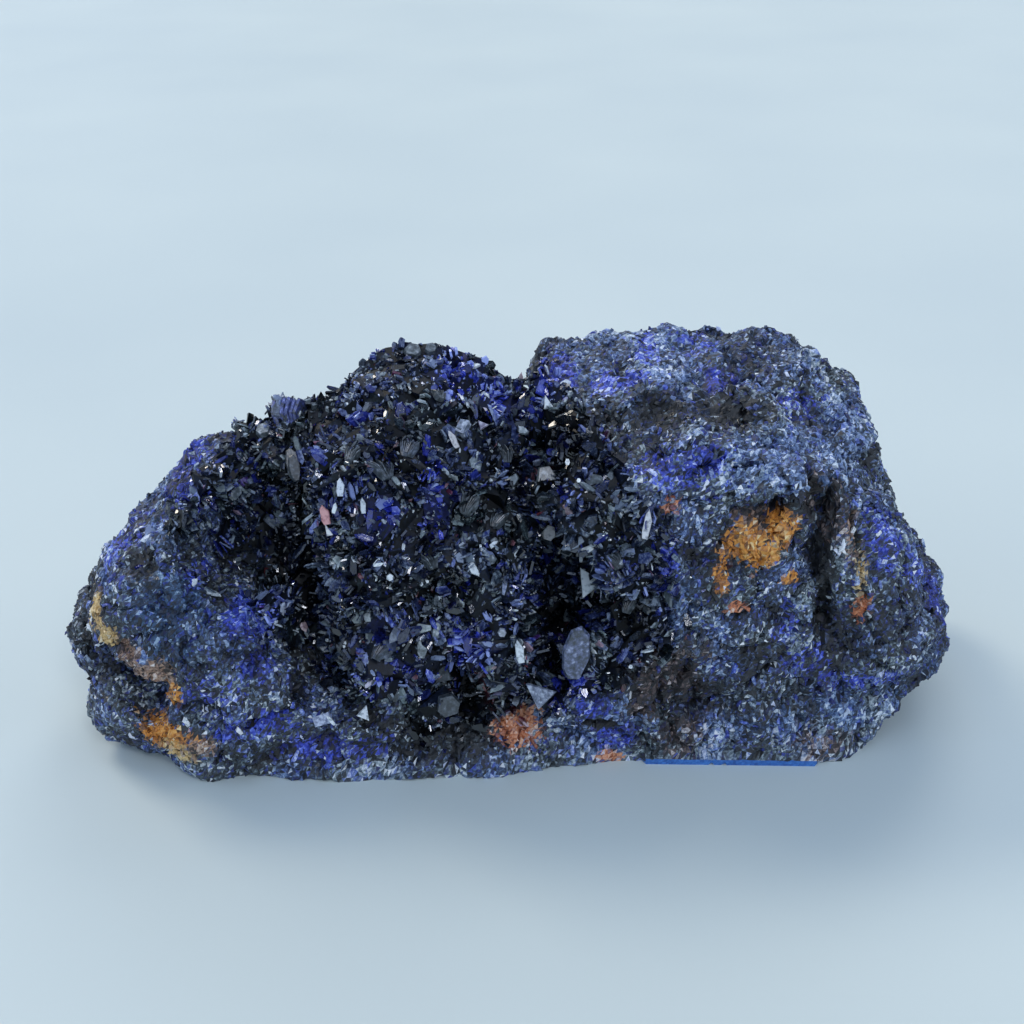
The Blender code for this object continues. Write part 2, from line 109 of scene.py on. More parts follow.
PATCHES = (
    *patches(
        Tone.ROYAL,
        ("lobe_crown", (-31, -6.5, 17.4), (3.4, 4, 3), 0.55),
        ("vug_rim", (-25, -2.5, 22.6), (3.4, 5, 2.6), 0.75),
        ("vug_shadow", (-24.6, -5.6, 22), (1.6, 3, 2.4), 0.8),
        ("lobe_neck", (-22.6, -9, 16.6), (3.2, 3, 1.3), 0.7),
        ("lobe_cheek", (-20.8, -11.4, 13.6), (2.6, 3, 2.2), 0.75),
        ("lobe_bead", (-20, -12.8, 10.6), (2.2, 3, 1.6), 0.75),
        ("lobe_front", (-23.8, -13.6, 8.6), (3.4, 2.6, 1.4), 0.5),
        ("left_foot", (-21, -13.6, 5.6), (4.2, 2.6, 1.5), 0.7),
        ("foot_centre", (-14.4, -13.6, 2.8), (4.6, 3, 1.6), 0.7),
        ("hump_crown", (-3.2, -2.8, 30), (3.4, 4, 1.8), 0.95),
        ("hump_band", (-0.7, -2.2, 27.2), (3.2, 3, 1.4), 0.9),
        ("hump_streak", (-5.8, -10.4, 24), (1.1, 3, 3.8), 0.85),
        ("hump_spot", (-9.3, -11.5, 22), (1.8, 2.5, 0.9), 0.95),
        ("hump_low", (-3.3, -13, 11.4), (1.6, 2.5, 2.4), 0.95),
        ("hump_side", (-9.7, -12.8, 13.3), (1.4, 2.5, 2), 0.6),
        ("hump_belly", (-9.6, -13.4, 9), (3.4, 2.5, 1.4), 0.55),
        ("blade_foot", (4.6, -13.2, 7.4), (1.8, 2.6, 1.6), 0.95),
        ("block_corner", (3.5, 0, 28.8), (1.7, 4, 2.4), 1),
        ("brow_one", (8.4, -2.2, 28.8), (2.6, 1.8, 1.6), 0.85),
        ("brow_two", (11.2, 1.4, 29.6), (1.2, 3, 1.6), 0.65),
        ("brow_three", (16.6, -2, 29), (2.4, 2, 1.6), 0.8),
        ("brow_four", (15, 3.4, 30.2), (2, 2.4, 1.6), 0.45),
        ("block_shoulder", (22.6, -3.4, 27), (2.4, 2.6, 1.8), 0.45),
        ("pit_round", (14.4, -10.9, 25.8), (2.6, 3, 1.7), 0.9),
        ("pit_left", (11.4, -11.4, 25.4), (2.2, 3, 1.7), 0.65),
        ("flank_left", (11.4, -12.2, 18.4), (1.3, 2.4, 1.8), 0.8),
        ("flank_right", (28.4, -11, 19.4), (2, 3, 2.6), 0.65),
        ("flank_edge", (30.4, -9.4, 16.2), (2.6, 3, 2.2), 0.45),
        ("edge_right", (35.1, -4.5, 10), (1.8, 4, 2.8), 0.9),
        ("low_right", (27, -12.6, 7), (4.6, 2.6, 1.4), 0.55),
        ("low_middle", (21.6, -12.9, 12.4), (1.8, 2.6, 2.2), 0.6),
        ("low_centre", (23.4, -12.4, 9), (2.4, 2.4, 1.6), 0.6),
        ("foot_right", (7.8, -13, 2.8), (2.2, 2.6, 1.5), 0.75),
        ("foot_left", (6, -13.2, 5.4), (1.8, 2.6, 1.2), 0.6),
        ("back_vein", (-14, 12, 14), (7, 5, 2.6), 0.7),
        ("back_nest", (20, 14, 18), (5, 5, 4), 0.7),
        ("back_foot", (4, 15, 6), (6, 4, 2.4), 0.6),
    ),
    # Painted light: lighter grey-blue on the block's top, on faces lit from the front, and where sparkle and sheen
    # show.
    *patches(
        Tone.PAINTED_LIGHT,
        ("flank_pale", (12.2, -12.2, 14.6), (2.2, 2.6, 3.6), 0.9),
        ("crown_light", (-4.6, -3, 29.4), (3.4, 3.4, 2.2), 0.75),
        ("lobe_right_pale", (-21.9, -12.6, 12.4), (1.9, 2.8, 3.4), 0.8),
        ("block_top", (14, 3, 29.8), (13, 9, 2.6), 0.5),
        ("block_front", (20, -9.6, 25.4), (4.4, 4, 2.6), 0.65),
        ("block_side", (26, -6, 24.6), (4, 6, 5), 0.55),
        ("brow_pale", (7.6, -5, 28.4), (2.4, 2, 1.6), 0.6),
        ("rim_left", (-27.6, -1, 20.6), (6, 5, 4.4), 0.8),
        ("lobe_cap", (-25.6, -8.6, 19.6), (4.4, 3, 1.8), 0.6),
        ("cheek_sparkle", (-20.6, -12.6, 11.8), (3.4, 3, 3.8), 0.9),
        ("foot_sparkle", (6.6, -13.2, 3.6), (3.8, 2.6, 3.2), 0.85),
        ("crown_sparkle", (-5, -4.4, 29.4), (4.4, 3.4, 2.2), 0.7),
        ("hump_left_light", (-10.6, -3.6, 27), (3, 3.4, 3), 0.6),
        ("hump_front_light", (-3, -7.4, 26.6), (2.2, 2.6, 1.6), 0.6),
        ("hump_belly_light", (-8.6, -12.8, 10.4), (4, 3, 3.4), 0.45),
        ("void_edge_light", (0.2, -11.6, 12), (1.4, 3, 3), 0.5),
    ),
    *patches(
        Tone.TEAL,
        ("lobe_shield", (-26.6, -12.2, 14), (4, 4, 4.6), 1),
        ("right_facet", (31.2, -8, 6.4), (4.6, 5, 4.4), 0.65),
        ("foot_teal", (24, -12.2, 4), (6, 2.4, 2.2), 0.5),
    ),
    # Painted shade: the mineral darkened in its recesses, holes, clefts, hollows and shaded low faces.
    *patches(
        Tone.PAINTED_SHADE,
        ("shield_shadow", (-28, -12, 12), (2.2, 3, 2.6), 0.4),
        ("lobe_low_shadow", (-21.4, -13.6, 7.6), (4.4, 2.6, 2), 0.4),
        ("lobe_low_gap", (-20, -13.6, 3), (3.6, 2.6, 1.6), 0.4),
        ("right_low_shadow", (19.6, -12.8, 5.6), (4.4, 2.6, 2.4), 0.35),
        ("seam_pocket", (-35.2, -6.8, 10.4), (1.6, 2.6, 1.7), 1),
        ("foot_void", (-4.2, -12.8, 3.2), (2.4, 2.6, 2.6), 1),
        ("brow_recess", (17.4, -5.4, 28), (3.6, 2.6, 1.6), 0.8),
        ("brow_gap", (11.4, -6, 28), (2.4, 2.6, 1.4), 0.75),
        ("shoulder_recess", (7.6, -6.4, 27.6), (2.8, 3, 1.6), 0.75),
        ("edge_recess", (29.1, -0.4, 21.8), (1.4, 3, 1.6), 0.9),
        ("lobe_pit", (-28.4, -10.8, 18), (1.4, 2.6, 1.4), 0.9),
        ("slit", (23.9, -9.6, 16.4), (0.75, 5, 5), 1),
        ("low_shadow", (19, -12.6, 10.2), (3, 2.4, 1.6), 0.5),
        ("round_hole", (14.6, -10.6, 25.5), (0.7, 1.4, 0.5), 1),
        ("foot_hollow", (6.4, -12.6, 3.9), (1.9, 2.6, 0.6), 1),
        ("far_lobe", (-35.6, -5.6, 11.6), (2.4, 4, 3.4), 0.7),
        ("left_cleft", (-16.8, -6, 15), (1.5, 4, 9), 1),
        ("cleft_mouth", (-18.4, -5.4, 15.6), (2.6, 4, 2.6), 0.9),
        ("middle_void", (2.9, -9, 9.6), (1.5, 4.5, 4.4), 0.85),
        ("void_side", (9.4, -12.4, 12.6), (1.9, 3, 2.2), 0.9),
        ("hump_gap", (4.4, -7, 26), (1.1, 4, 3.4), 1),
        ("hump_fold", (0.6, -7.6, 23.6), (2.4, 3.4, 1.8), 0.75),
        ("low_hollow", (-4, -11, 5), (1.9, 3, 2.6), 1),
        ("foot_shade", (-8, -13.2, 3), (6, 2.6, 2.6), 0.65),
    ),
    *patches(
        Tone.STRAW,
        ("seam_top", (-32.3, -9.8, 13.5), (1.2, 2.6, 1.2), 1),
        ("seam_upper", (-31.4, -11.4, 12.6), (0.9, 2.4, 1.3), 1),
        ("lobe_foot_low", (-26.6, -14, 3), (1.8, 2, 1.2), 0.8),
        ("main_stain_straw", (20.3, -11.8, 19.8), (0.8, 2, 1), 0.25),
        ("flank_streak", (26.4, -12.7, 17.2), (0.6, 2.6, 2.2), 0.6),
    ),
    *patches(
        Tone.CLAY,
        ("seam_middle", (-29.8, -12.4, 11.2), (1.4, 2.4, 1.2), 0.95),
        ("seam_low", (-28.2, -13.1, 9.8), (2.2, 2.2, 1.3), 0.95),
        ("lobe_foot_clay", (-24.8, -14, 3.8), (1.4, 2, 1.1), 0.8),
        ("main_stain_edge", (17.6, -11.8, 21.4), (1.6, 2.4, 0.9), 0.35),
        ("slit_lip", (25.4, -10.6, 19), (0.8, 2.4, 2.6), 0.55),
    ),
    *patches(
        Tone.UMBER,
        ("seam_brown", (-28.4, -13.1, 9.8), (2.4, 2.2, 1.3), 0.7),
        ("alcove", (12.2, -13, 7.4), (3.6, 3, 3.6), 0.95),
        ("alcove_foot", (13.4, -12.4, 3), (2.4, 3, 2.4), 0.7),
        ("heel", (24.6, -12, 1.6), (2.6, 2.4, 1.5), 0.8),
        ("stain_top", (18.4, -11.8, 21), (2.2, 2.4, 0.9), 0.9),
        ("slit_wall", (22.6, -11, 22.6), (1, 2.4, 2.6), 0.9),
        ("back_earth", (6, 13, 20), (7, 5, 4), 0.7),
        ("slit_brown", (24.2, -10.6, 21.4), (1.5, 2.8, 2.4), 0.9),
    ),
    *patches(
        Tone.LIMONITE,
        ("seam_end", (-26.6, -13.4, 8), (0.7, 2.2, 1.2), 0.75),
        ("lobe_foot", (-27.4, -13.8, 4.4), (3, 2.8, 1.4), 1),
        ("main_stain", (18.6, -11.7, 18.8), (2.6, 2.8, 1.7), 1),
        ("main_stain_left", (17.3, -11.7, 19.9), (1.3, 2.8, 1.7), 0.8),
        ("main_stain_top", (20.4, -11.8, 20.4), (1.4, 2.8, 2.1), 1),
        ("stain_tail", (15.9, -12.4, 16.7), (0.7, 2.6, 1.6), 0.85),
        ("stain_drop", (21.1, -11.8, 16.3), (0.9, 2.2, 0.6), 1),
        ("back_stain", (26, 10, 11), (3.6, 4, 2.4), 0.9),
    ),
    *patches(
        Tone.RUST,
        ("rust_spot", (17.2, -12.7, 14.3), (0.8, 2.2, 0.6), 1),
        ("flank_drop", (26.9, -12.6, 14), (0.9, 2.6, 1.4), 1),
        ("round_stain", (0.6, -12.6, 3.5), (2, 2.4, 1.7), 1),
        ("small_stain", (7.6, -13, 0.6), (1.4, 1.8, 0.6), 1),
        ("low_rust", (-2.4, -11.4, 7), (0.9, 2.4, 1.6), 0.55),
        ("garnet_spot", (12, -11.8, 22.8), (0.9, 2, 0.6), 0.6),
        ("back_rust", (-22, 10, 8), (4, 4, 2), 0.8),
    ),
    *patches(
        Tone.DRUSE,
        ("vug_wall", (-22.8, -7, 18.6), (2.4, 4, 3.8), 0.9),
        ("cleft_wall", (-18.4, -8, 11.5), (2.2, 4, 4), 0.7),
    ),
)


@dataclass(frozen=True)
class Form:
    """A named dent or swell of the block's skin: an ellipsoid in which it moves in or out.

    Attributes:
        name: What a collector would call it.
        centre: Its middle, in millimetres.
        radii: Its half sizes along X, Y and Z, in millimetres.
        lift: How far its middle moves outwards, in millimetres; less than 0 moves in.
    """

    name: str
    centre: Triple
    radii: Triple
    lift: float


FORMS = (
    Form("round_hole", (14.6, -10.6, 25.5), (0.8, 2, 0.55), -2.2),
    Form("slit_foot", (24, -11.4, 13), (0.8, 3, 3.4), -2),
    Form("slit_crown", (22.3, -11, 23.6), (0.7, 2.6, 2.2), -1.8),
    Form("stain_crack", (19.8, -11.4, 22.6), (0.6, 2.6, 1.8), -1.4),
    Form("stain_crack_left", (17.6, -11.4, 22), (1.4, 2.6, 0.6), -1),
    Form("stain_cushion", (18.8, -11.7, 19), (3.2, 2.8, 2.2), 0.9),
    Form("stain_ledge", (18.4, -12, 23.8), (2.6, 2.6, 1), 0.5),
    Form("brow_recess", (16.8, -5.6, 28), (4, 2.4, 1.8), -1.3),
    Form("brow_gap", (11, -6, 28), (2, 2.2, 1.6), -1.1),
    Form("shoulder_recess", (7.2, -6.4, 27.6), (2.4, 2.4, 1.6), -1.1),
    Form("edge_recess", (28.8, -1, 21.6), (1.2, 2.6, 1.5), -1),
    Form("lobe_pit", (-28.4, -10.8, 18), (1.3, 2.4, 1.2), -1.2),
    Form("seam_step", (-31, -12, 11.4), (2.6, 2.6, 0.7), -0.9),
    Form("seam_notch", (-34, -8.6, 8.1), (2.6, 4.6, 1.1), -2.8),
    Form("shoulder_knob", (24.4, 1.6, 29.2), (1.3, 2.4, 1.5), 0.9),
    Form("hook_fill", (30, 0.3, 20.9), (1.5, 3.2, 1.3), 1.2),
    Form("seam_pocket", (-34.8, -7.2, 10.4), (1.1, 2.2, 1.3), -1.2),
    Form("lower_lobe", (-32.4, -9, 3.6), (3.2, 4.4, 3.4), 1.5),
    Form("upper_lobe", (-33, -6, 15.6), (2.6, 4.4, 2.6), 0.8),
    Form("lobe_fold", (-28.6, -13.2, 8), (2.4, 2.6, 0.6), -1.1),
    Form("foot_step", (-24.4, -13.8, 6.8), (2.6, 2.4, 0.5), -0.8),
    Form("foot_hollow", (6.4, -12.6, 3.9), (1.7, 2.6, 0.55), -1.4),
    Form("alcove_crack", (11.8, -12.6, 5.2), (0.5, 2.6, 3.2), -1.3),
    Form("alcove_crack_two", (14.4, -12.4, 4.8), (0.6, 2.6, 2.6), -1.2),
    Form("alcove", (12.4, -12.8, 8.4), (2.8, 2.6, 2.2), -0.7),
    Form("low_fold", (19.4, -12.8, 10.4), (2.6, 2.4, 0.8), -0.7),
    Form("flank_fold", (30.6, -9.4, 8.4), (4, 4, 0.9), -0.7),
    Form("toe", (23, -11.8, 0.6), (13, 4.6, 4.6), 2.3),
    Form("sole_left", (-14, -13.2, 0.4), (8, 3.4, 2.4), 1.5),
    Form("sole_middle", (-1, -13, 0.4), (9, 3.4, 2.2), 1.3),
    Form("block_rim", (27.4, 1, 25.8), (3.4, 7, 3.4), 0.7),
    Form("rim_dip", (31.4, -4.4, 18.4), (3, 5, 2.6), -1.3),
    Form("shoulder_dip", (35.2, 4.8, 12.8), (3.8, 7, 4.8), -2),
    Form("rim_fill", (30.8, 1.4, 19.8), (2.2, 5, 2.2), 1),
    Form("rim_low", (29.6, -1, 23.2), (2.6, 5, 2), 0.55),
    Form("slit_wall_right", (25, -9.6, 17.2), (1.1, 3.4, 5.6), 0.8),
    Form("slit_wall_left", (22.3, -10.6, 18.6), (0.8, 2.6, 4.6), 0.5),
    Form("far_lobe_top", (-35.8, -5.7, 10.6), (2.4, 4, 1.7), 1.1),
    Form("far_lobe_dip", (-34.4, -6, 14), (2.2, 4, 1.6), -0.9),
    Form("lobe_crown", (-30.8, -6, 17.6), (2.4, 4.4, 2), 0.5),
    Form("lobe_saddle", (-28.8, -3.4, 20.8), (2.4, 4.4, 2.4), -1.2),
    Form("top_swell", (17.2, 7.2, 29.6), (3.4, 5, 2.4), -1),
    Form("block_corner", (2, 0.5, 28), (1.6, 6, 3.4), -0.8),
    Form("back_fold", (-4, 13, 16), (8, 4, 1.4), -1.4),
    Form("back_hollow", (16, 13, 10), (4, 4, 3), -1.5),
)


class Outline(Enum):
    """How the broad face of a standing crystal is bounded."""

    BLADE = "blade"  # long, with a slanting end
    HEX = "hex"  # short, six-sided
    OVAL = "oval"  # long, its corners worn by many small faces
    SLAB = "slab"  # four-sided, its end slanting a little
    TRIANGLE = "triangle"  # a corner of a larger crystal


@dataclass(frozen=True)
class Hero:
    """A crystal large enough to be known by name.

    Attributes:
        name: What a collector would call it.
        outline: How its broad face is bounded.
        root: Where it grows from, in millimetres.
        axis: Which way it points.
        facing: Which way its broad face looks.
        size: Its length, width and thickness, in millimetres.
        glow: How light it is, from 0, glassy black, to 1, white; its pale grey and white are painted reflection, as of
            a face turned to the light.
        blue: How much of azurite's full blue it shows, from 0 to 1.
        rose: How much it is tinted by the iron under it, from 0 to 1.
        leaves: How many blades it is a fan of.
    """

    name: str
    outline: Outline
    root: Triple
    axis: Triple
    facing: Triple
    size: Triple
    glow: float
    blue: float = 0.0
    rose: float = 0.0
    leaves: int = 1


# The lightest of them are painted highlights: pale grey and white where a face would flash with the window's light,
# even in the hollows' shade.
HEROES = (
    Hero("oval_plate", Outline.OVAL, (-16.4, -7.5, 23.3), (-0.18, 0.45, 0.87),
         (0.33, -0.81, 0.48), (2.47, 1, 0.3), 0.18, leaves=2),
    Hero("ridge_prism", Outline.HEX, (-17.1, -3.4, 26), (-0.06, 0.55, 0.83),
         (0.84, -0.42, 0.34), (2.35, 1.88, 0.34), 0.24, 0.7, leaves=6),
    Hero("rim_knob", Outline.HEX, (-19.1, -3.8, 25.4), (-0.29, 0.86, 0.41),
         (-0.08, -0.45, 0.89), (1.34, 1.57, 1.1), 0.4),
    Hero("rim_knob_two", Outline.HEX, (-18.1, -3.1, 26.5), (0.13, 0.81, 0.57),
         (0.09, -0.58, 0.81), (1.57, 1.26, 0.9), 0.35, 0.2),
    Hero("sky_facet", Outline.SLAB, (-3.8, -7.3, 26.9), (0.46, 0.7, 0.55),
         (-0.09, -0.58, 0.81), (1.29, 0.84, 0.45), 0.62, 0.4, leaves=2),
    Hero("sky_facet_two", Outline.TRIANGLE, (-1.9, -5.6, 26.6), (-0.64, 0.51, 0.58),
         (0.22, -0.6, 0.77), (1, 1.08, 0.45), 0.5, 0.5, 0.2),
    Hero("cream_blade", Outline.BLADE, (-3.9, -8.8, 26.5), (-0.42, 0.34, 0.84),
         (-0.28, -0.93, 0.23), (1.9, 0.61, 0.35), 0.92, rose=0.18),
    Hero("crown_spark", Outline.BLADE, (-3.2, -2.1, 30.2), (0.98, 0.19, 0.09), (0, -0.45, 0.89), (1.18, 0.39, 0.3), 1),
    Hero("crown_knob", Outline.HEX, (-7.5, -1.5, 30.8), (0.17, 0.84, 0.51), (0, -0.52, 0.86), (1.25, 1.56, 1), 0.4),
    Hero("crown_knob_two", Outline.HEX, (-5.9, -1.3, 31), (-0.3, 0.76, 0.57),
         (0.09, -0.58, 0.81), (0.94, 1.09, 0.9), 0.3),
    Hero("ice_frame", Outline.HEX, (-12.7, -10.6, 23.1), (0.03, 0.2, 0.98), (0.1, -0.98, 0.2), (2.25, 1.42, 0.3), 0.36),
    Hero("ice_window", Outline.BLADE, (-12.6, -11.7, 24.1), (0.06, 0.2, 0.98),
         (0.1, -0.98, 0.2), (1.42, 0.6, 0.3), 0.8, 0.75),
    Hero("glint_blade", Outline.BLADE, (-13.1, -12.5, 23.1), (0.25, 0.39, 0.89),
         (-0.1, -0.9, 0.42), (1.05, 0.45, 0.25), 1),
    Hero("grey_blade", Outline.BLADE, (-11, -11.3, 22.4), (-0.06, 0.32, 0.94),
         (0.19, -0.92, 0.33), (1.27, 0.45, 0.25), 0.75, 0.1),
    Hero("rose_blade", Outline.BLADE, (-13.7, -11.8, 21.8), (-0.21, 0.24, 0.95),
         (0, -0.97, 0.24), (1.43, 0.68, 0.3), 0.8, rose=0.9),
    Hero("rose_tip", Outline.TRIANGLE, (-13.6, -11.6, 20.7), (-0.33, 0.28, 0.9),
         (0.1, -0.94, 0.33), (0.99, 0.46, 0.25), 1, rose=0.1),
    Hero("glint_streak", Outline.BLADE, (-10.2, -14.6, 19.8), (0.98, 0.09, 0.15),
         (0, -0.86, 0.51), (1.04, 0.37, 0.25), 1),
    Hero("glint_cluster", Outline.HEX, (-9.2, -14.4, 18.4), (0.5, 0.46, 0.74),
         (0.2, -0.89, 0.42), (0.68, 0.75, 0.3), 0.95),
    Hero("hump_plate", Outline.HEX, (-1.3, -11.4, 19.5), (0.34, 0.43, 0.83),
         (0.1, -0.9, 0.42), (0.83, 1.21, 0.35), 0.45),
    Hero("hump_plate_two", Outline.HEX, (-1.6, -12.2, 18.3), (-0.26, 0.46, 0.85),
         (-0.2, -0.89, 0.42), (0.99, 1.52, 0.35), 0.4),
    Hero("left_shield", Outline.OVAL, (-15.2, -7.8, 7.8), (-0.12, 0.54, 0.84),
         (0.15, -0.82, 0.55), (2.21, 1.56, 0.4), 0.36, leaves=2),
    Hero("mid_shield", Outline.OVAL, (-7.1, -13.1, 10.6), (0.07, 0.15, 0.99),
         (0, -0.99, 0.15), (2.02, 0.85, 0.35), 0.52),
    Hero("mid_finger", Outline.BLADE, (-6, -13.5, 12.8), (0.25, 0.28, 0.93),
         (0.19, -0.95, 0.24), (1.53, 0.69, 0.3), 0.6),
    Hero("low_plate", Outline.SLAB, (-5.8, -11.7, 7.4), (-0.18, 0.43, 0.88),
         (-0.1, -0.9, 0.42), (1.19, 1.83, 0.4), 0.33),
    Hero("low_block", Outline.HEX, (-4.9, -14.9, 6.5), (-0.32, 0.27, 0.91),
         (0.15, -0.93, 0.33), (1.94, 2.33, 1.1), 0.22),
    Hero("slim_plate", Outline.BLADE, (0.6, -14.8, 11.1), (-0.14, 0.14, 0.98),
         (0.09, -0.98, 0.15), (2, 0.69, 0.3), 0.88, 0.35),
    Hero("leaning_blade", Outline.TRIANGLE, (2.6, -15.5, 8), (-0.72, 0.48, 0.5),
         (-0.33, -0.87, 0.36), (2.47, 2.32, 0.6), 0.4, 0.2),
    Hero("base_triangle", Outline.TRIANGLE, (-11.9, -14.4, 5.9), (0.34, 0.46, 0.82),
         (0.2, -0.89, 0.42), (1.03, 1.03, 0.4), 0.8, 0.15),
    Hero("base_window", Outline.SLAB, (-15, -14, 5.1), (-0.25, 0.52, 0.82),
         (-0.1, -0.85, 0.51), (1.18, 2.05, 0.4), 0.5, 0.45),
    Hero("base_needle", Outline.BLADE, (-14, -15, 5.8), (-0.64, 0.33, 0.69), (0, -0.91, 0.42), (1.1, 0.32, 0.2), 1),
    Hero("grey_plate", Outline.HEX, (3, -8.8, 22.8), (-0.27, 0.49, 0.83), (0.2, -0.82, 0.54), (2.1, 1.9, 0.45), 0.42),
    Hero("grey_plate_two", Outline.HEX, (6.2, -11.2, 24.1), (0.14, 0.3, 0.94),
         (-0.19, -0.92, 0.33), (1.04, 1.42, 0.4), 0.36),
    Hero("bright_spark", Outline.HEX, (4.3, -9.7, 25.3), (-0.03, 0.57, 0.82),
         (0.13, -0.81, 0.57), (0.68, 0.53, 0.3), 1),
    Hero("small_spark", Outline.HEX, (5, -12.4, 25.2), (-0.03, 0.57, 0.82), (0.13, -0.81, 0.57), (0.3, 0.3, 0.25), 1),
    Hero("rose_cluster", Outline.HEX, (2.8, -8.4, 18.2), (0.22, 0.61, 0.76),
         (0.14, -0.79, 0.59), (1.35, 1.25, 0.45), 1, rose=0.16),
    Hero("rose_cluster_two", Outline.HEX, (4, -12.3, 22.6), (0.59, 0.38, 0.72),
         (0.19, -0.92, 0.33), (0.97, 1.12, 0.4), 0.45, rose=0.35),
    Hero("glint_rim", Outline.BLADE, (4.8, -7.4, 16.7), (-0.52, 0.45, 0.73), (0.13, -0.79, 0.6), (0.97, 0.49, 0.2), 1),
    Hero("glint_rim_two", Outline.BLADE, (5.4, -8.6, 16.3), (0.09, 0.6, 0.79),
         (0.13, -0.79, 0.6), (1.13, 0.4, 0.2), 0.9),
    Hero("ice_triangle", Outline.TRIANGLE, (6.3, -8.7, 15.3), (-0.44, -0.58, -0.68),
         (0.12, -0.79, 0.6), (2.1, 2.1, 0.3), 1, 0.1),
    Hero("pale_shard", Outline.BLADE, (9.8, -13.9, 21.2), (0.18, 0.3, 0.94),
         (-0.19, -0.92, 0.33), (2.23, 0.59, 0.3), 0.92, rose=0.12),
    Hero("garnet_plate", Outline.OVAL, (12, -12, 22.6), (0.19, 0.34, 0.92),
         (0.1, -0.94, 0.33), (0.52, 0.82, 0.4), 0.12, rose=0.7),
    Hero("round_blade", Outline.OVAL, (4.5, -14.1, 9.2), (0.1, 0.09, 0.99),
         (0.11, -0.99, 0.08), (4.4, 2.05, 0.5), 0.34, 0.35, leaves=2),
    Hero("blue_plate", Outline.HEX, (6.1, -7.5, 10.2), (-0.22, 0.57, 0.79),
         (0.28, -0.74, 0.61), (1.54, 1.22, 0.35), 0.35, 0.35),
    Hero("corner_plate", Outline.TRIANGLE, (3.1, -4.3, 27.5), (-0.21, 0.73, 0.65),
         (0.09, -0.64, 0.76), (1.57, 1.02, 0.35), 0.8),
    Hero("foot_spark", Outline.HEX, (9, -13.6, 9.6), (0.17, 0.42, 0.89), (0, -0.91, 0.42), (0.39, 0.47, 0.3), 1),
    Hero("rosette_left", Outline.BLADE, (-9, -11.1, 25.2), (-0.4, 0.67, 0.63),
         (-0.82, -0.57, 0.09), (1.79, 0.89, 0.09), 0.3, 0.05, leaves=9),
    Hero("rosette_crown", Outline.BLADE, (-7.6, -10.2, 26.5), (0.26, 0.54, 0.8),
         (0.78, -0.6, 0.15), (1.56, 0.82, 0.09), 0.27, 0.1, leaves=9),
    Hero("rosette_right", Outline.BLADE, (-3.4, -11.6, 22.3), (0.35, 0.62, 0.7),
         (0.82, -0.57, 0.09), (1.65, 0.82, 0.08), 0.26, leaves=9),
    Hero("rosette_far", Outline.BLADE, (-0.3, -6.9, 24.2), (-0.1, 0.67, 0.74),
         (-0.81, -0.49, 0.32), (1.47, 0.77, 0.08), 0.23, leaves=8),
    Hero("rosette_low", Outline.BLADE, (-10.6, -14.2, 11.3), (0.47, 0.6, 0.64),
         (0.76, -0.64, 0.04), (1.46, 0.77, 0.08), 0.26, 0.1, leaves=8),
    Hero("rosette_void", Outline.BLADE, (8, -13.9, 18.7), (-0.35, 0.58, 0.73),
         (-0.8, -0.6, 0.09), (1.34, 0.67, 0.08), 0.27, leaves=8),
    Hero("rosette_vug", Outline.BLADE, (-21.6, -6.9, 21.6), (0.29, 0.83, 0.48),
         (0.76, -0.5, 0.41), (1.25, 0.7, 0.08), 0.29, leaves=7),
    Hero("rosette_side", Outline.BLADE, (8.7, -12.1, 13.7), (0.31, 0.53, 0.79),
         (0.8, -0.6, 0.09), (1.39, 0.7, 0.08), 0.26, leaves=7),
    Hero("rosette_brow", Outline.BLADE, (-5.1, -6, 29.2), (-0.3, 0.87, 0.39),
         (-0.75, -0.47, 0.46), (1.22, 0.69, 0.08), 0.24, leaves=8),
    Hero("rosette_cheek", Outline.BLADE, (-11.9, -10.1, 26), (0.26, 0.48, 0.84),
         (0.8, -0.6, 0.09), (1.34, 0.67, 0.08), 0.26, leaves=8),
    Hero("rosette_nose", Outline.BLADE, (-5.9, -12.9, 18.4), (-0.33, 0.45, 0.83),
         (-0.76, -0.64, 0.04), (1.43, 0.75, 0.08), 0.24, leaves=8),
    Hero("rosette_edge", Outline.BLADE, (-1.3, -10.6, 20.6), (0.45, 0.65, 0.61),
         (0.78, -0.62, 0.1), (1.37, 0.68, 0.08), 0.26, leaves=8),
)


def hex_to_linear(colour: str) -> tuple[float, float, float, float]:
    """Turns an sRGB hex value to the linear colour that a shader wants.

    Args:
        colour: A "#" and six hex digits.

    Returns:
        Linear red, green and blue, and an alpha of 1.
    """
    parts = [int(colour[i : i + 2], 16) / 255 for i in (1, 3, 5)]
    red, green, blue = (c / 12.92 if c <= 0.04045 else ((c + 0.055) / 1.055) ** 2.4 for c in parts)
    return red, green, blue, 1.0


def add_node(
    tree: bpy.types.NodeTree,
    kind: str,
    settings: dict[str | int, object] | None = None,
    links: dict[str | int, bpy.types.NodeSocket] | None = None,
) -> bpy.types.Node:
    """Adds a node with its settings and its links.

    Args:
        tree: The node tree to add to.
        kind: The node's Blender type, without the ShaderNode that each starts with.
        settings: Values by name or by an input's number. One that is an input socket's sets it; "stops" sets a
            colour ramp, as places from 0 to 1 with their sRGB hex colours; any other is set on the node itself.
        links: Output sockets by the name or number of the input that each goes to.

    Returns:
        The new node.
    """
    node = tree.nodes.new("ShaderNode" + kind)
    for name, value in (settings or {}).items():
        if name == "stops":
            elements = node.color_ramp.elements
            while len(elements) < len(value):
                elements.new(1.0)
            for element, (place, colour) in zip(elements, value):
                element.position = place
                element.color = hex_to_linear(colour)
        elif isinstance(name, int) or name in node.inputs:
            node.inputs[name].default_value = value
        else:
            setattr(node, name, value)
    for target, source in (links or {}).items():
        tree.links.new(source, node.inputs[target])
    return node


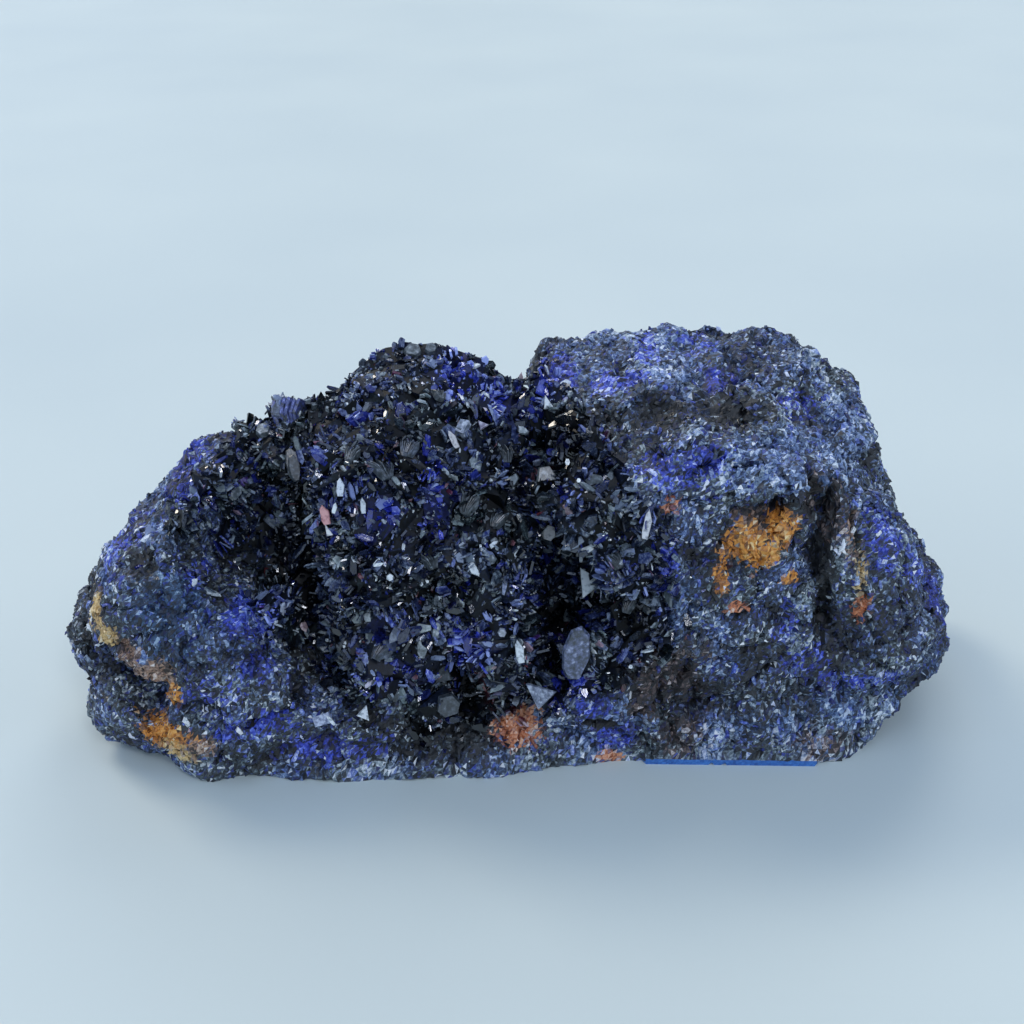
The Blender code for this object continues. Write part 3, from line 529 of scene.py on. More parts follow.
def new_material(name: str, ior: float) -> tuple[bpy.types.Material, bpy.types.NodeTree, bpy.types.Node]:
    """Starts the material of something that isn't a metal.

    Args:
        name: The material's name.
        ior: How strongly it bends light.

    Returns:
        The material, its node tree and its shader.
    """
    made = bpy.data.materials.new(name)
    made.use_nodes = True
    shader = made.node_tree.nodes["Principled BSDF"]
    shader.inputs["IOR"].default_value = ior
    shader.inputs["Metallic"].default_value = 0.0
    return made, made.node_tree, shader


Stops = tuple[tuple[float, str], ...]

# From the darkest gaps between grains, painted shade, to the lightest broken edges, painted highlights.
PLAIN_GREY: Stops = (
    (0.10, "#060708"), (0.30, "#161b1e"), (0.48, "#3a454b"), (0.62, "#707f86"), (0.78, "#b0bbbe"), (0.95, "#f2f3f2"),
)
BLUE_GREY: Stops = (
    (0.10, "#05070d"), (0.30, "#111a2c"), (0.48, "#2f4068"), (0.62, "#5872a4"), (0.78, "#9bb2d6"), (0.95, "#eef3f8"),
)
TONE_COLOURS: dict[Tone, Stops] = {
    # Painted light.
    Tone.PAINTED_LIGHT: ((0.10, "#0c1322"), (0.32, "#2d3f5e"), (0.50, "#6079a2"), (0.68, "#99adce"), (0.90, "#dfe8f0")),
    Tone.TEAL: ((0.10, "#070d18"), (0.32, "#13233a"), (0.52, "#26405f"), (0.70, "#44658a"), (0.92, "#a9c0d6")),
    Tone.ROYAL: ((0.10, "#090b2c"), (0.34, "#1b2784"), (0.52, "#364ac2"), (0.70, "#6c82e0"), (0.92, "#dae2fa")),
    # Painted shade.
    Tone.PAINTED_SHADE: ((0.20, "#030405"), (0.50, "#0b0e12"), (0.70, "#1d2329"), (0.84, "#4d565d"), (0.97, "#b9c2c6")),
    Tone.UMBER: ((0.15, "#080505"), (0.42, "#271b1a"), (0.60, "#4c3b36"), (0.78, "#82706a"), (0.95, "#cac0bc")),
    Tone.LIMONITE: ((0.02, "#351b06"), (0.24, "#985a18"), (0.48, "#d88b2d"), (0.78, "#ecb35b"), (0.98, "#f6dca2")),
    Tone.STRAW: ((0.02, "#3c2c16"), (0.24, "#a28047"), (0.48, "#d8b677"), (0.78, "#efdbae"), (0.98, "#f9efd6")),
    Tone.CLAY: ((0.05, "#20150f"), (0.28, "#614a3c"), (0.50, "#a07e67"), (0.76, "#c9b09c"), (0.96, "#eadfd5")),
    Tone.RUST: ((0.02, "#34160b"), (0.22, "#944b2a"), (0.46, "#c97848"), (0.76, "#e2a680"), (0.98, "#f2d6c2")),
    Tone.SAWN: ((0.10, "#1a529a"), (0.50, "#2868b6"), (0.90, "#3f80cc")),
}

# From a face that looks into the dark, darker still where shade is painted, to a thin or bruised one: plain crystal,
# then what lies over it. The glint layer is painted reflection, pale grey to white, where a face would catch the light.
CRYSTAL_BLACK: Stops = ((0.05, "#030404"), (0.46, "#11181b"), (0.74, "#313b3f"), (0.97, "#7d8a8c"))
CRYSTAL_COLOURS: dict[str, Stops] = {
    "hue": ((0.05, "#04050a"), (0.46, "#141b36"), (0.74, "#303c70"), (0.97, "#7583b4")),
    "royal": ((0.05, "#0a0c2e"), (0.40, "#1d278e"), (0.70, "#3a4ac8"), (0.97, "#a0b0f0")),
    "umber": ((0.05, "#060405"), (0.60, "#1d1415"), (0.97, "#43322e")),
    "glow": ((0.05, "#4d585c"), (0.50, "#8b979b"), (0.97, "#e8eeee")),
    "rust": ((0.05, "#4a1c22"), (0.50, "#9c4a50"), (0.97, "#d99a96")),
}


def layered(
    tree: bpy.types.NodeTree,
    tint: bpy.types.NodeSocket,
    ground: Stops,
    layers: Iterable[tuple[bpy.types.NodeSocket, Stops]],
) -> bpy.types.NodeSocket:
    """Colours a mineral by how light each place is, then lays other colours over it.

    Args:
        tree: The node tree to add to.
        tint: How light each place is, from 0 to 1.
        ground: The lowest colours, from dark to light.
        layers: How much of each layer shows, and its colours.

    Returns:
        The colour.
    """
    colour = add_node(tree, "ValToRGB", {"stops": ground}, {0: tint}).outputs[0]
    for share, stops in layers:
        over = add_node(tree, "ValToRGB", {"stops": stops}, {0: tint}).outputs[0]
        colour = add_node(tree, "Mix", {"data_type": "RGBA"}, {0: share, 6: colour, 7: over}).outputs[2]
    return colour


@dataclass(frozen=True)
class MassiveAzurite:
    """Finish of the block: fine-grained massive azurite, broken and not polished, with iron stains.

    A broken face of grains near 0.4 mm scatters light like a sugar cube, so it looks dull and mid blue-grey,
    with darker gaps, full blue where the grains are fresh, and a spark where one lies flat to the light.
    The darker gaps and many of the sparks are painted shade and painted highlights in the tint that it reads.

    Attributes:
        name: The material's name.
        ior: Azurite bends light by 1.73 to 1.84.
        roughness: Broken grains; glossy ones go down to polish.
        polish: Roughness of a grain that shows one clean face.
        speck_mm: Size of the finest specks, coarser than the real powder so that they show.
        cloud_mm: Size of the lighter and darker clouds.
        specks: How much the specks vary the tint.
        clouds: How much the clouds vary it.
        blue_span: The hues at which the grains begin and end to turn from grey to blue.
        bump: How strongly the specks tilt the light.
        bump_mm: How far the specks stand out.
    """

    name: str = "massive_azurite_broken"
    ior: float = 1.73
    roughness: float = 0.66
    polish: float = 0.14
    speck_mm: float = 0.22
    cloud_mm: float = 4.5
    specks: float = 0.95
    clouds: float = 0.75
    blue_span: Span = (0.28, 0.82)
    bump: float = 0.55
    bump_mm: float = 0.12

    def material(self) -> bpy.types.Material:
        """Builds the material.

        Returns:
            A material that reads the attributes tint, hue, gloss and one for each tone that has colours.
        """
        made, tree, shader = new_material(self.name, self.ior)
        read = {
            name: add_node(tree, "Attribute", {"attribute_name": name}).outputs["Fac"]
            for name in ("tint", "hue", "gloss", *(tone.value for tone in TONE_COLOURS))
        }
        place = add_node(tree, "TexCoord").outputs["Object"]
        specks, clouds = (
            add_node(
                tree, "TexNoise", {"Scale": 1 / (size * MM), "Detail": detail, "Roughness": 0.6}, {"Vector": place}
            ).outputs["Fac"]
            for size, detail in ((self.speck_mm, 3.0), (self.cloud_mm, 4.0))
        )
        # Grain to grain, then speck to speck, then in clouds, and back to the middle of what they add.
        tint = read["tint"]
        for pattern, share in ((specks, self.specks), (clouds, self.clouds)):
            tint = add_node(tree, "Math", {"operation": "MULTIPLY_ADD", 1: share}, {0: pattern, 2: tint}).outputs[0]
        middle = (self.specks + self.clouds) / 2
        tint = add_node(tree, "Math", {"operation": "SUBTRACT", 1: middle, "use_clamp": True}, {0: tint}).outputs[0]
        start, end = self.blue_span
        blue = add_node(tree, "MapRange", {"From Min": start, "From Max": end}, {"Value": read["hue"]}).outputs[0]
        over = [(blue, BLUE_GREY)] + [(read[tone.value], stops) for tone, stops in TONE_COLOURS.items()]
        rough = add_node(
            tree, "MapRange", {"To Min": self.roughness, "To Max": self.polish}, {"Value": read["gloss"]}
        ).outputs[0]
        bump = add_node(
            tree, "Bump", {"Strength": self.bump, "Distance": self.bump_mm * MM}, {"Height": specks}
        ).outputs["Normal"]
        tree.links.new(layered(tree, tint, PLAIN_GREY, over), shader.inputs["Base Color"])
        tree.links.new(rough, shader.inputs["Roughness"])
        tree.links.new(bump, shader.inputs["Normal"])
        return made


@dataclass(frozen=True)
class AzuriteBlades:
    """Finish of the druse: azurite crystals with natural growth faces.

    A growth face is as smooth as glass. The crystal is so deep a blue that it looks black, so nearly all that
    reaches the eye is what its faces reflect, and the thin or bruised ones show blue.

    Attributes:
        name: The material's name.
        ior: Azurite bends light by 1.73 to 1.84.
        roughness: A smooth growth face with fine striations.
        shine: How much of its mirror light gets out; 0.5 is all of it, less dims the reflection to stand in for the
            shade of faces shut in between others.
        mottle: How much the hillocks vary the tint.
        stria_mm: Spacing of the striations, coarser than the real ones so that they show.
        stria_squash: How much longer than wide a striation is, as its width over its length.
        hillock_mm: Size of the growth hillocks that break up a face.
        hillock_rise: How much higher than a striation a hillock is.
        bump: How strongly both tilt the light.
        bump_mm: How far both stand out.
    """

    name: str = "azurite_growth_faces"
    ior: float = 1.80
    roughness: float = 0.09
    shine: float = 0.5
    mottle: float = 1.1
    stria_mm: float = 0.16
    stria_squash: float = 0.3
    hillock_mm: float = 0.34
    hillock_rise: float = 1.6
    bump: float = 0.30
    bump_mm: float = 0.035

    def material(self) -> bpy.types.Material:
        """Builds the material.

        Returns:
            A material that reads the attributes tint, hue, glow, royal, umber and rust.
        """
        made, tree, shader = new_material(self.name, self.ior)
        read = {
            name: add_node(tree, "Attribute", {"attribute_name": name}).outputs["Fac"]
            for name in ("tint", *CRYSTAL_COLOURS)
        }
        place = add_node(tree, "TexCoord").outputs["Object"]
        drawn = add_node(tree, "Mapping", {"Scale": (1.0, 1.0, self.stria_squash)}, {"Vector": place}).outputs[0]
        stria, hillocks = (
            add_node(
                tree, "TexNoise", {"Scale": 1 / (size * MM), "Detail": detail, "Roughness": rough}, {"Vector": way}
            ).outputs["Fac"]
            for size, detail, rough, way in ((self.stria_mm, 2.0, 0.5, drawn), (self.hillock_mm, 3.0, 0.65, place))
        )
        tint = add_node(
            tree, "Math", {"operation": "MULTIPLY_ADD", 1: self.mottle}, {0: hillocks, 2: read["tint"]}
        ).outputs[0]
        tint = add_node(
            tree, "Math", {"operation": "SUBTRACT", 1: self.mottle / 2, "use_clamp": True}, {0: tint}
        ).outputs[0]
        relief = add_node(
            tree, "Math", {"operation": "MULTIPLY_ADD", 1: self.hillock_rise}, {0: hillocks, 2: stria}
        ).outputs[0]
        bump = add_node(
            tree, "Bump", {"Strength": self.bump, "Distance": self.bump_mm * MM}, {"Height": relief}
        ).outputs["Normal"]
        over = [(read[name], stops) for name, stops in CRYSTAL_COLOURS.items()]
        shader.inputs["Roughness"].default_value = self.roughness
        shader.inputs["Specular IOR Level"].default_value = self.shine
        tree.links.new(layered(tree, tint, CRYSTAL_BLACK, over), shader.inputs["Base Color"])
        tree.links.new(bump, shader.inputs["Normal"])
        return made


@dataclass(frozen=True)
class PaintedBoard:
    """Finish of the floor: a board with matt, slightly cool white paint, rolled on.

    Attributes:
        name: The material's name.
        ior: Dry paint bends light by about 1.5.
        roughness: Matt, with a faint sheen far off.
        drift_mm: How wide the roller's lighter and darker areas are.
        shades: The paint, from where it is thin to where it is thick.
    """

    name: str = "matt_white_paint_rolled"
    ior: float = 1.5
    roughness: float = 0.55
    drift_mm: float = 60.0
    shades: Stops = ((0.3, "#cad4d0"), (0.7, "#d1dad4"))

    def material(self) -> bpy.types.Material:
        """Builds the material.

        Returns:
            The material.
        """
        made, tree, shader = new_material(self.name, self.ior)
        place = add_node(tree, "TexCoord").outputs["Object"]
        drift = add_node(
            tree, "TexNoise", {"Scale": 1 / (self.drift_mm * MM), "Detail": 2.0}, {"Vector": place}
        ).outputs["Fac"]
        shader.inputs["Roughness"].default_value = self.roughness
        tree.links.new(layered(tree, drift, self.shades, ()), shader.inputs["Base Color"])
        return made


@dataclass(frozen=True)
class Swell:
    """Smooth noise in the mineral.

    Attributes:
        depth: How high its crests are.
        size_mm: How far apart they are.
        seed: Shifts it, so that two differ.
    """

    depth: float
    size_mm: float
    seed: int

    def at(self, points: Array) -> Array:
        """How high it is at each point.

        Args:
            points: Points in millimetres, one a row.

        Returns:
            One value a point, from about -depth to depth.
        """
        shift = Vector((self.seed * 17.3 + 3.1, self.seed * 5.9 - 8.7, self.seed * 11.1 + 1.9))
        value = noise.noise
        return self.depth * np.array([value(Vector(p) + shift) for p in (points / self.size_mm).tolist()])


# How ragged a patch's edge is, where it lies and over how much it fades, as shares of the patch's size.
PATCH_RAGGED = (Swell(0.45, 2.3, 1), Swell(0.35, 0.9, 2))
PATCH_EDGE = 1.15
PATCH_FADE = 0.6

# How gradually a tone gives way to the next from grain to grain. A stain is a powder that covers the grains.
EVENNESS = {
    Tone.ROYAL: 0.35,
    Tone.LIMONITE: 0.35,
    Tone.RUST: 0.4,
    Tone.STRAW: 0.6,
    Tone.CLAY: 0.6,
    Tone.UMBER: 0.5,
    Tone.PAINTED_SHADE: 0.4,
    Tone.PAINTED_LIGHT: 0.6,
}


def tones_at(points: Array) -> dict[Tone, Array]:
    """How much of each tone the mineral has at each point.

    Args:
        points: Points in millimetres, one a row.

    Returns:
        For each tone, one value a point, from 0 to 1.
    """
    ragged = sum(swell.at(points) for swell in PATCH_RAGGED)
    found = {tone: np.zeros(len(points)) for tone in Tone}
    for patch in PATCHES:
        reach = np.linalg.norm((points - patch.centre) / patch.radii, axis=1)
        weight = np.clip((PATCH_EDGE - reach + ragged) / PATCH_FADE, 0.0, 1.0) * patch.strength
        found[patch.tone] = np.maximum(found[patch.tone], weight)
    return found


def stained(tones: dict[Tone, Array]) -> Array:
    """How much a stain covers each place, from 0 to 1."""
    return np.maximum.reduce([tones[tone] for tone in STAINS])


def settled_tones(points: Array, draw: np.random.Generator, stray: float) -> dict[Tone, Array]:
    """Decides grain by grain which tones it has, so that patches mix at their edges as grains do.

    Args:
        points: Where the grains are, in millimetres.
        draw: The random numbers.
        stray: The share of grains that are royal blue wherever they are.

    Returns:
        For each tone, one value a grain, nearly all of them 0 or 1.
    """
    found = tones_at(points)
    found[Tone.ROYAL] = np.maximum(found[Tone.ROYAL], stray)
    for tone, even in EVENNESS.items():
        found[tone] = np.clip((found[tone] - draw.random(len(points))) / even + 0.5, 0.0, 1.0) * (found[tone] > 0)
    bare = 1 - stained(found)
    for tone in (Tone.ROYAL, Tone.UMBER, Tone.PAINTED_SHADE):
        found[tone] *= bare
    return found


def mesh_piece(
    name: str, points: Array, triangles: Array, material: bpy.types.Material, values: dict[str, Array]
) -> bpy.types.Object:
    """Makes one object of flat-shaded triangles.

    Args:
        name: The piece's name.
        points: Its points in millimetres, one a row.
        triangles: Three point numbers a row.
        material: Its finish.
        values: Attributes by name, one value a triangle.

    Returns:
        The object, linked to the scene.
    """
    mesh = bpy.data.meshes.new(name)
    mesh.vertices.add(len(points))
    mesh.vertices.foreach_set("co", (points * MM).astype(np.float32).ravel())
    mesh.loops.add(triangles.size)
    mesh.loops.foreach_set("vertex_index", triangles.astype(np.int32).ravel())
    mesh.polygons.add(len(triangles))
    mesh.polygons.foreach_set("loop_start", np.arange(0, triangles.size, 3, dtype=np.int32))
    mesh.update(calc_edges=True)
    mesh.shade_flat()
    for label, value in values.items():
        layer = mesh.attributes.new(label, "FLOAT", "FACE")
        layer.data.foreach_set("value", value.astype(np.float32))
    mesh.materials.append(material)
    made = bpy.data.objects.new(name, mesh)
    bpy.context.scene.collection.objects.link(made)
    return made


@dataclass
class Gathered:
    """Meshes that become one piece.

    Attributes:
        points: The points of each.
        triangles: The triangles of each, their corners numbered through all of them.
        count: How many points there are so far.
    """

    points: list[Array] = field(default_factory=list)
    triangles: list[Array] = field(default_factory=list)
    count: int = 0

    def add(self, points: Array, triangles: Array) -> None:
        """Takes in one more mesh.

        Args:
            points: Its points.
            triangles: Its triangles, numbered from 0.
        """
        self.points.append(points)
        self.triangles.append(triangles + self.count)
        self.count += len(points)

    def joined(self) -> tuple[Array, Array]:
        """The points and the triangles of all of them."""
        return np.concatenate(self.points), np.concatenate(self.triangles)


def apply_modifiers(obj: bpy.types.Object) -> None:
    """Replaces an object's mesh with what its modifiers make of it.

    Args:
        obj: The object.
    """
    graph = bpy.context.evaluated_depsgraph_get()
    made = bpy.data.meshes.new_from_object(obj.evaluated_get(graph))
    obj.modifiers.clear()
    obj.data = made


def skin_of(obj: bpy.types.Object) -> tuple[Array, Array]:
    """Reads an object's mesh.

    Args:
        obj: The object.

    Returns:
        Its points in millimetres, and its triangles.
    """
    mesh = obj.data
    points = np.zeros(len(mesh.vertices) * 3)
    mesh.vertices.foreach_get("co", points)
    mesh.calc_loop_triangles()
    triangles = np.zeros(len(mesh.loop_triangles) * 3, dtype=np.int32)
    mesh.loop_triangles.foreach_get("vertices", triangles)
    return points.reshape(-1, 3) / MM, triangles.reshape(-1, 3)


def unit(vectors: Array) -> Array:
    """The vectors, each scaled to length 1."""
    return vectors / np.maximum(np.linalg.norm(vectors, axis=1, keepdims=True), TINY)


def normals_of(points: Array, triangles: Array) -> tuple[Array, Array, Array]:
    """Which way a mesh looks.

    Args:
        points: Its points.
        triangles: Its triangles.

    Returns:
        Unit normal and area of each triangle, and the unit normal at each point.
    """
    a, b, c = (points[triangles[:, i]] for i in range(3))
    cross = np.cross(b - a, c - a)
    double = np.linalg.norm(cross, axis=1)
    at_points = np.zeros_like(points)
    for i in range(3):
        np.add.at(at_points, triangles[:, i], cross)
    return cross / np.maximum(double, TINY)[:, None], double / 2, unit(at_points)


def scattered(
    points: Array, triangles: Array, weights: Array, count: int, draw: np.random.Generator
) -> tuple[Array, Array]:
    """Places spread at random over a skin.

    Args:
        points: The skin's points.
        triangles: Its triangles.
        weights: How likely each triangle is to be chosen.
        count: How many places.
        draw: The random numbers.

    Returns:
        The places, and the triangle that each is on.
    """
    chosen = draw.choice(len(triangles), size=count, p=weights / weights.sum())
    u, v = draw.random(count), draw.random(count)
    over = u + v > 1
    u[over], v[over] = 1 - u[over], 1 - v[over]
    a, b, c = (points[triangles[chosen, i]] for i in range(3))
    return a + (b - a) * u[:, None] + (c - a) * v[:, None], chosen


@dataclass(frozen=True)
class Shape:
    """A crystal of unit size, root at the origin, length along Z, width along X, thickness along Y.

    Attributes:
        corners: Its corners, one a row.
        triangles: Three corner numbers a row.
    """

    corners: Array
    triangles: Array


Rim = Sequence[tuple[float, float]]  # a crystal's outline as (x, z), x from -0.5 to 0.5, z from 0 at the root to 1


def hull(corners: Sequence[Triple]) -> Shape:
    """The convex shape round some corners, split into triangles.

    Args:
        corners: The corners.

    Returns:
        The shape.
    """
    work = bmesh.new()
    for corner in corners:
        work.verts.new(corner)
    made = bmesh.ops.convex_hull(work, input=work.verts)
    loose = [part for part in made["geom_interior"] if isinstance(part, bmesh.types.BMVert)]
    bmesh.ops.delete(work, geom=loose, context="VERTS")
    bmesh.ops.recalc_face_normals(work, faces=work.faces)
    bmesh.ops.triangulate(work, faces=work.faces)
    work.verts.index_update()
    points = np.array([vertex.co[:] for vertex in work.verts])
    triangles = np.array([[vertex.index for vertex in face.verts] for face in work.faces], dtype=np.int32)
    work.free()
    return Shape(points, triangles)


def tablet(outline: Rim, bevel: float) -> Shape:
    """A flat crystal whose two broad faces are a little smaller than its outline, so that its edges catch light.

    Args:
        outline: The outline.
        bevel: How much smaller the broad faces are across, as a share; along, they are so by 0.6 of it.

    Returns:
        The shape.
    """
    corners = []
    for x, z in outline:
        corners.append((x, 0.0, z))
        for side in (-0.5, 0.5):
            corners.append((x * (1 - bevel), side, 0.5 + (z - 0.5) * (1 - bevel * 0.6)))
    return hull(corners)


def wedge(outline: Rim, bevel: float) -> Shape:
    """A flat crystal whose outer broad face is smaller than the one it sits on.

    Args:
        outline: The outline.
        bevel: How much smaller the outer face is, as a share.

    Returns:
        The shape.
    """
    middle = sum(z for _, z in outline) / len(outline)
    corners = [(x, -0.5, z) for x, z in outline]
    corners += [(x * (1 - bevel), 0.5, middle + (z - middle) * (1 - bevel)) for x, z in outline]
    return hull(corners)


GRAIN = hull(
    (
        (-0.5, -0.5, -0.40), (0.42, -0.5, -0.5), (0.5, -0.5, 0.44), (-0.40, -0.5, 0.5),
        (-0.30, 0.5, -0.28), (0.34, 0.44, -0.22), (0.26, 0.5, 0.34), (-0.34, 0.40, 0.24),
    )
)
SCALES = (
    wedge(((-0.30, 0.0), (0.28, 0.05), (0.5, 0.48), (0.24, 1.0), (-0.26, 0.92), (-0.5, 0.42)), 0.20),
    wedge(((-0.44, 0.0), (0.40, 0.0), (0.5, 0.66), (0.02, 1.0), (-0.5, 0.60)), 0.18),
    wedge(((-0.42, 0.06), (0.18, 0.0), (0.5, 0.30), (0.38, 0.86), (-0.12, 1.0), (-0.5, 0.70)), 0.24),
)
BLADES = (
    wedge(((-0.36, 0.0), (0.36, 0.0), (0.5, 0.64), (0.16, 1.0), (-0.5, 0.74)), 0.12),
    wedge(((-0.40, 0.0), (0.42, 0.0), (0.5, 0.78), (-0.06, 1.0), (-0.46, 0.58)), 0.14),
)
PLATES = {
    Outline.BLADE: tablet(((-0.34, 0.0), (0.34, 0.0), (0.5, 0.24), (0.40, 0.80), (0.05, 1.0), (-0.5, 0.62)), 0.12),
    Outline.HEX: tablet(((-0.24, 0.0), (0.30, 0.04), (0.5, 0.46), (0.22, 1.0), (-0.30, 0.94), (-0.5, 0.42)), 0.14),
    Outline.OVAL: tablet(
        ((-0.22, 0.0), (0.20, 0.0), (0.44, 0.22), (0.5, 0.56), (0.28, 0.92), (-0.08, 1.0), (-0.40, 0.84), (-0.5, 0.40)),
        0.12,
    ),
    Outline.SLAB: tablet(((-0.5, 0.0), (0.46, 0.0), (0.5, 0.86), (-0.40, 1.0)), 0.10),
    Outline.TRIANGLE: tablet(((-0.5, 0.0), (0.5, 0.08), (0.06, 1.0)), 0.12),
}


def grown(shape: Shape, roots: Array, axes: Array, flats: Array, sizes: Array) -> tuple[Array, Array]:
    """One mesh of many crystals of one shape.

    Args:
        shape: The crystal at unit size.
        roots: Where each grows from.
        axes: Which way each points.
        flats: Roughly which way the broad face of each looks.
        sizes: Length, width and thickness of each.

    Returns:
        The points and the triangles.
    """
    along = unit(axes)
    across = unit(np.cross(flats, along))
    through = np.cross(along, across)
    length, width, thickness = (sizes[:, i, None, None] for i in range(3))
    local = shape.corners[None]
    points = (
        roots[:, None]
        + across[:, None] * local[..., 0:1] * width
        + through[:, None] * local[..., 1:2] * thickness
        + along[:, None] * local[..., 2:3] * length
    )
    offsets = np.arange(len(roots), dtype=np.int32)[:, None, None] * len(shape.corners)
    return points.reshape(-1, 3), (shape.triangles[None] + offsets).reshape(-1, 3)


@dataclass(frozen=True)
class GrainLight:
    """How light and how blue massive azurite is: crests are painted lighter than gaps, as painted light and shade, and
    both drift in clouds.

    Attributes:
        tint: The middle lightness.
        clouds: How the lightness drifts.
        crest: How much lighter a grain is for each millimetre that it stands out: painted light on crests, painted
            shade in gaps.
        crest_mm: The lowest and the highest that this counts for.
        hue: The middle blueness.
        drift: How the blueness drifts.
        hue_spread: How much the blueness differs from grain to grain.
        lit: The share of grains painted as highlights, as if each turned a clean face to the light, and how much
            lighter and less blue they are.
        shut: The share of grains painted as shade, as if each looked into a gap, and how much darker they are.
    """

    tint: float = 0.49
    clouds: tuple[Swell, ...] = (Swell(0.16, 3.1, 21), Swell(0.12, 1.3, 22))
    crest: float = 0.14
    crest_mm: Span = (-1.2, 0.8)
    hue: float = 0.46
    drift: Swell = Swell(0.75, 2.7, 23)
    hue_spread: float = 0.16
    lit: Triple = (0.05, 0.36, 0.3)
    shut: Span = (0.15, 0.28)

    def values(self, places: Array, height: Array, draw: np.random.Generator, spread: float) -> dict[str, Array]:
        """Works it out place by place.

        Args:
            places: Places in millimetres, one a row.
            height: How far each stands out of the evened skin, in millimetres.
            draw: The random numbers.
            spread: How much the lightness differs from grain to grain.

        Returns:
            The attributes tint and hue, one value a place.
        """
        count = len(places)
        clouds = sum(swell.at(places) for swell in self.clouds)
        # Painted light and shade: lighter on crests, darker in gaps, some grains painted as highlights and some as
        # shade.
        tint = self.tint + clouds + self.crest * np.clip(height, *self.crest_mm) + draw.normal(0, spread, count)
        chance = draw.random(count)
        lit, brighter, greyer = self.lit
        shut, darker = self.shut
        lit_up = chance > 1 - lit
        tint = np.where(lit_up, tint + brighter, np.where(chance < shut, tint - darker, tint))
        hue = self.hue + self.drift.at(places) + draw.normal(0, self.hue_spread, count) - greyer * lit_up
        return {"tint": np.clip(tint, 0, 1), "hue": np.clip(hue, 0, 1)}


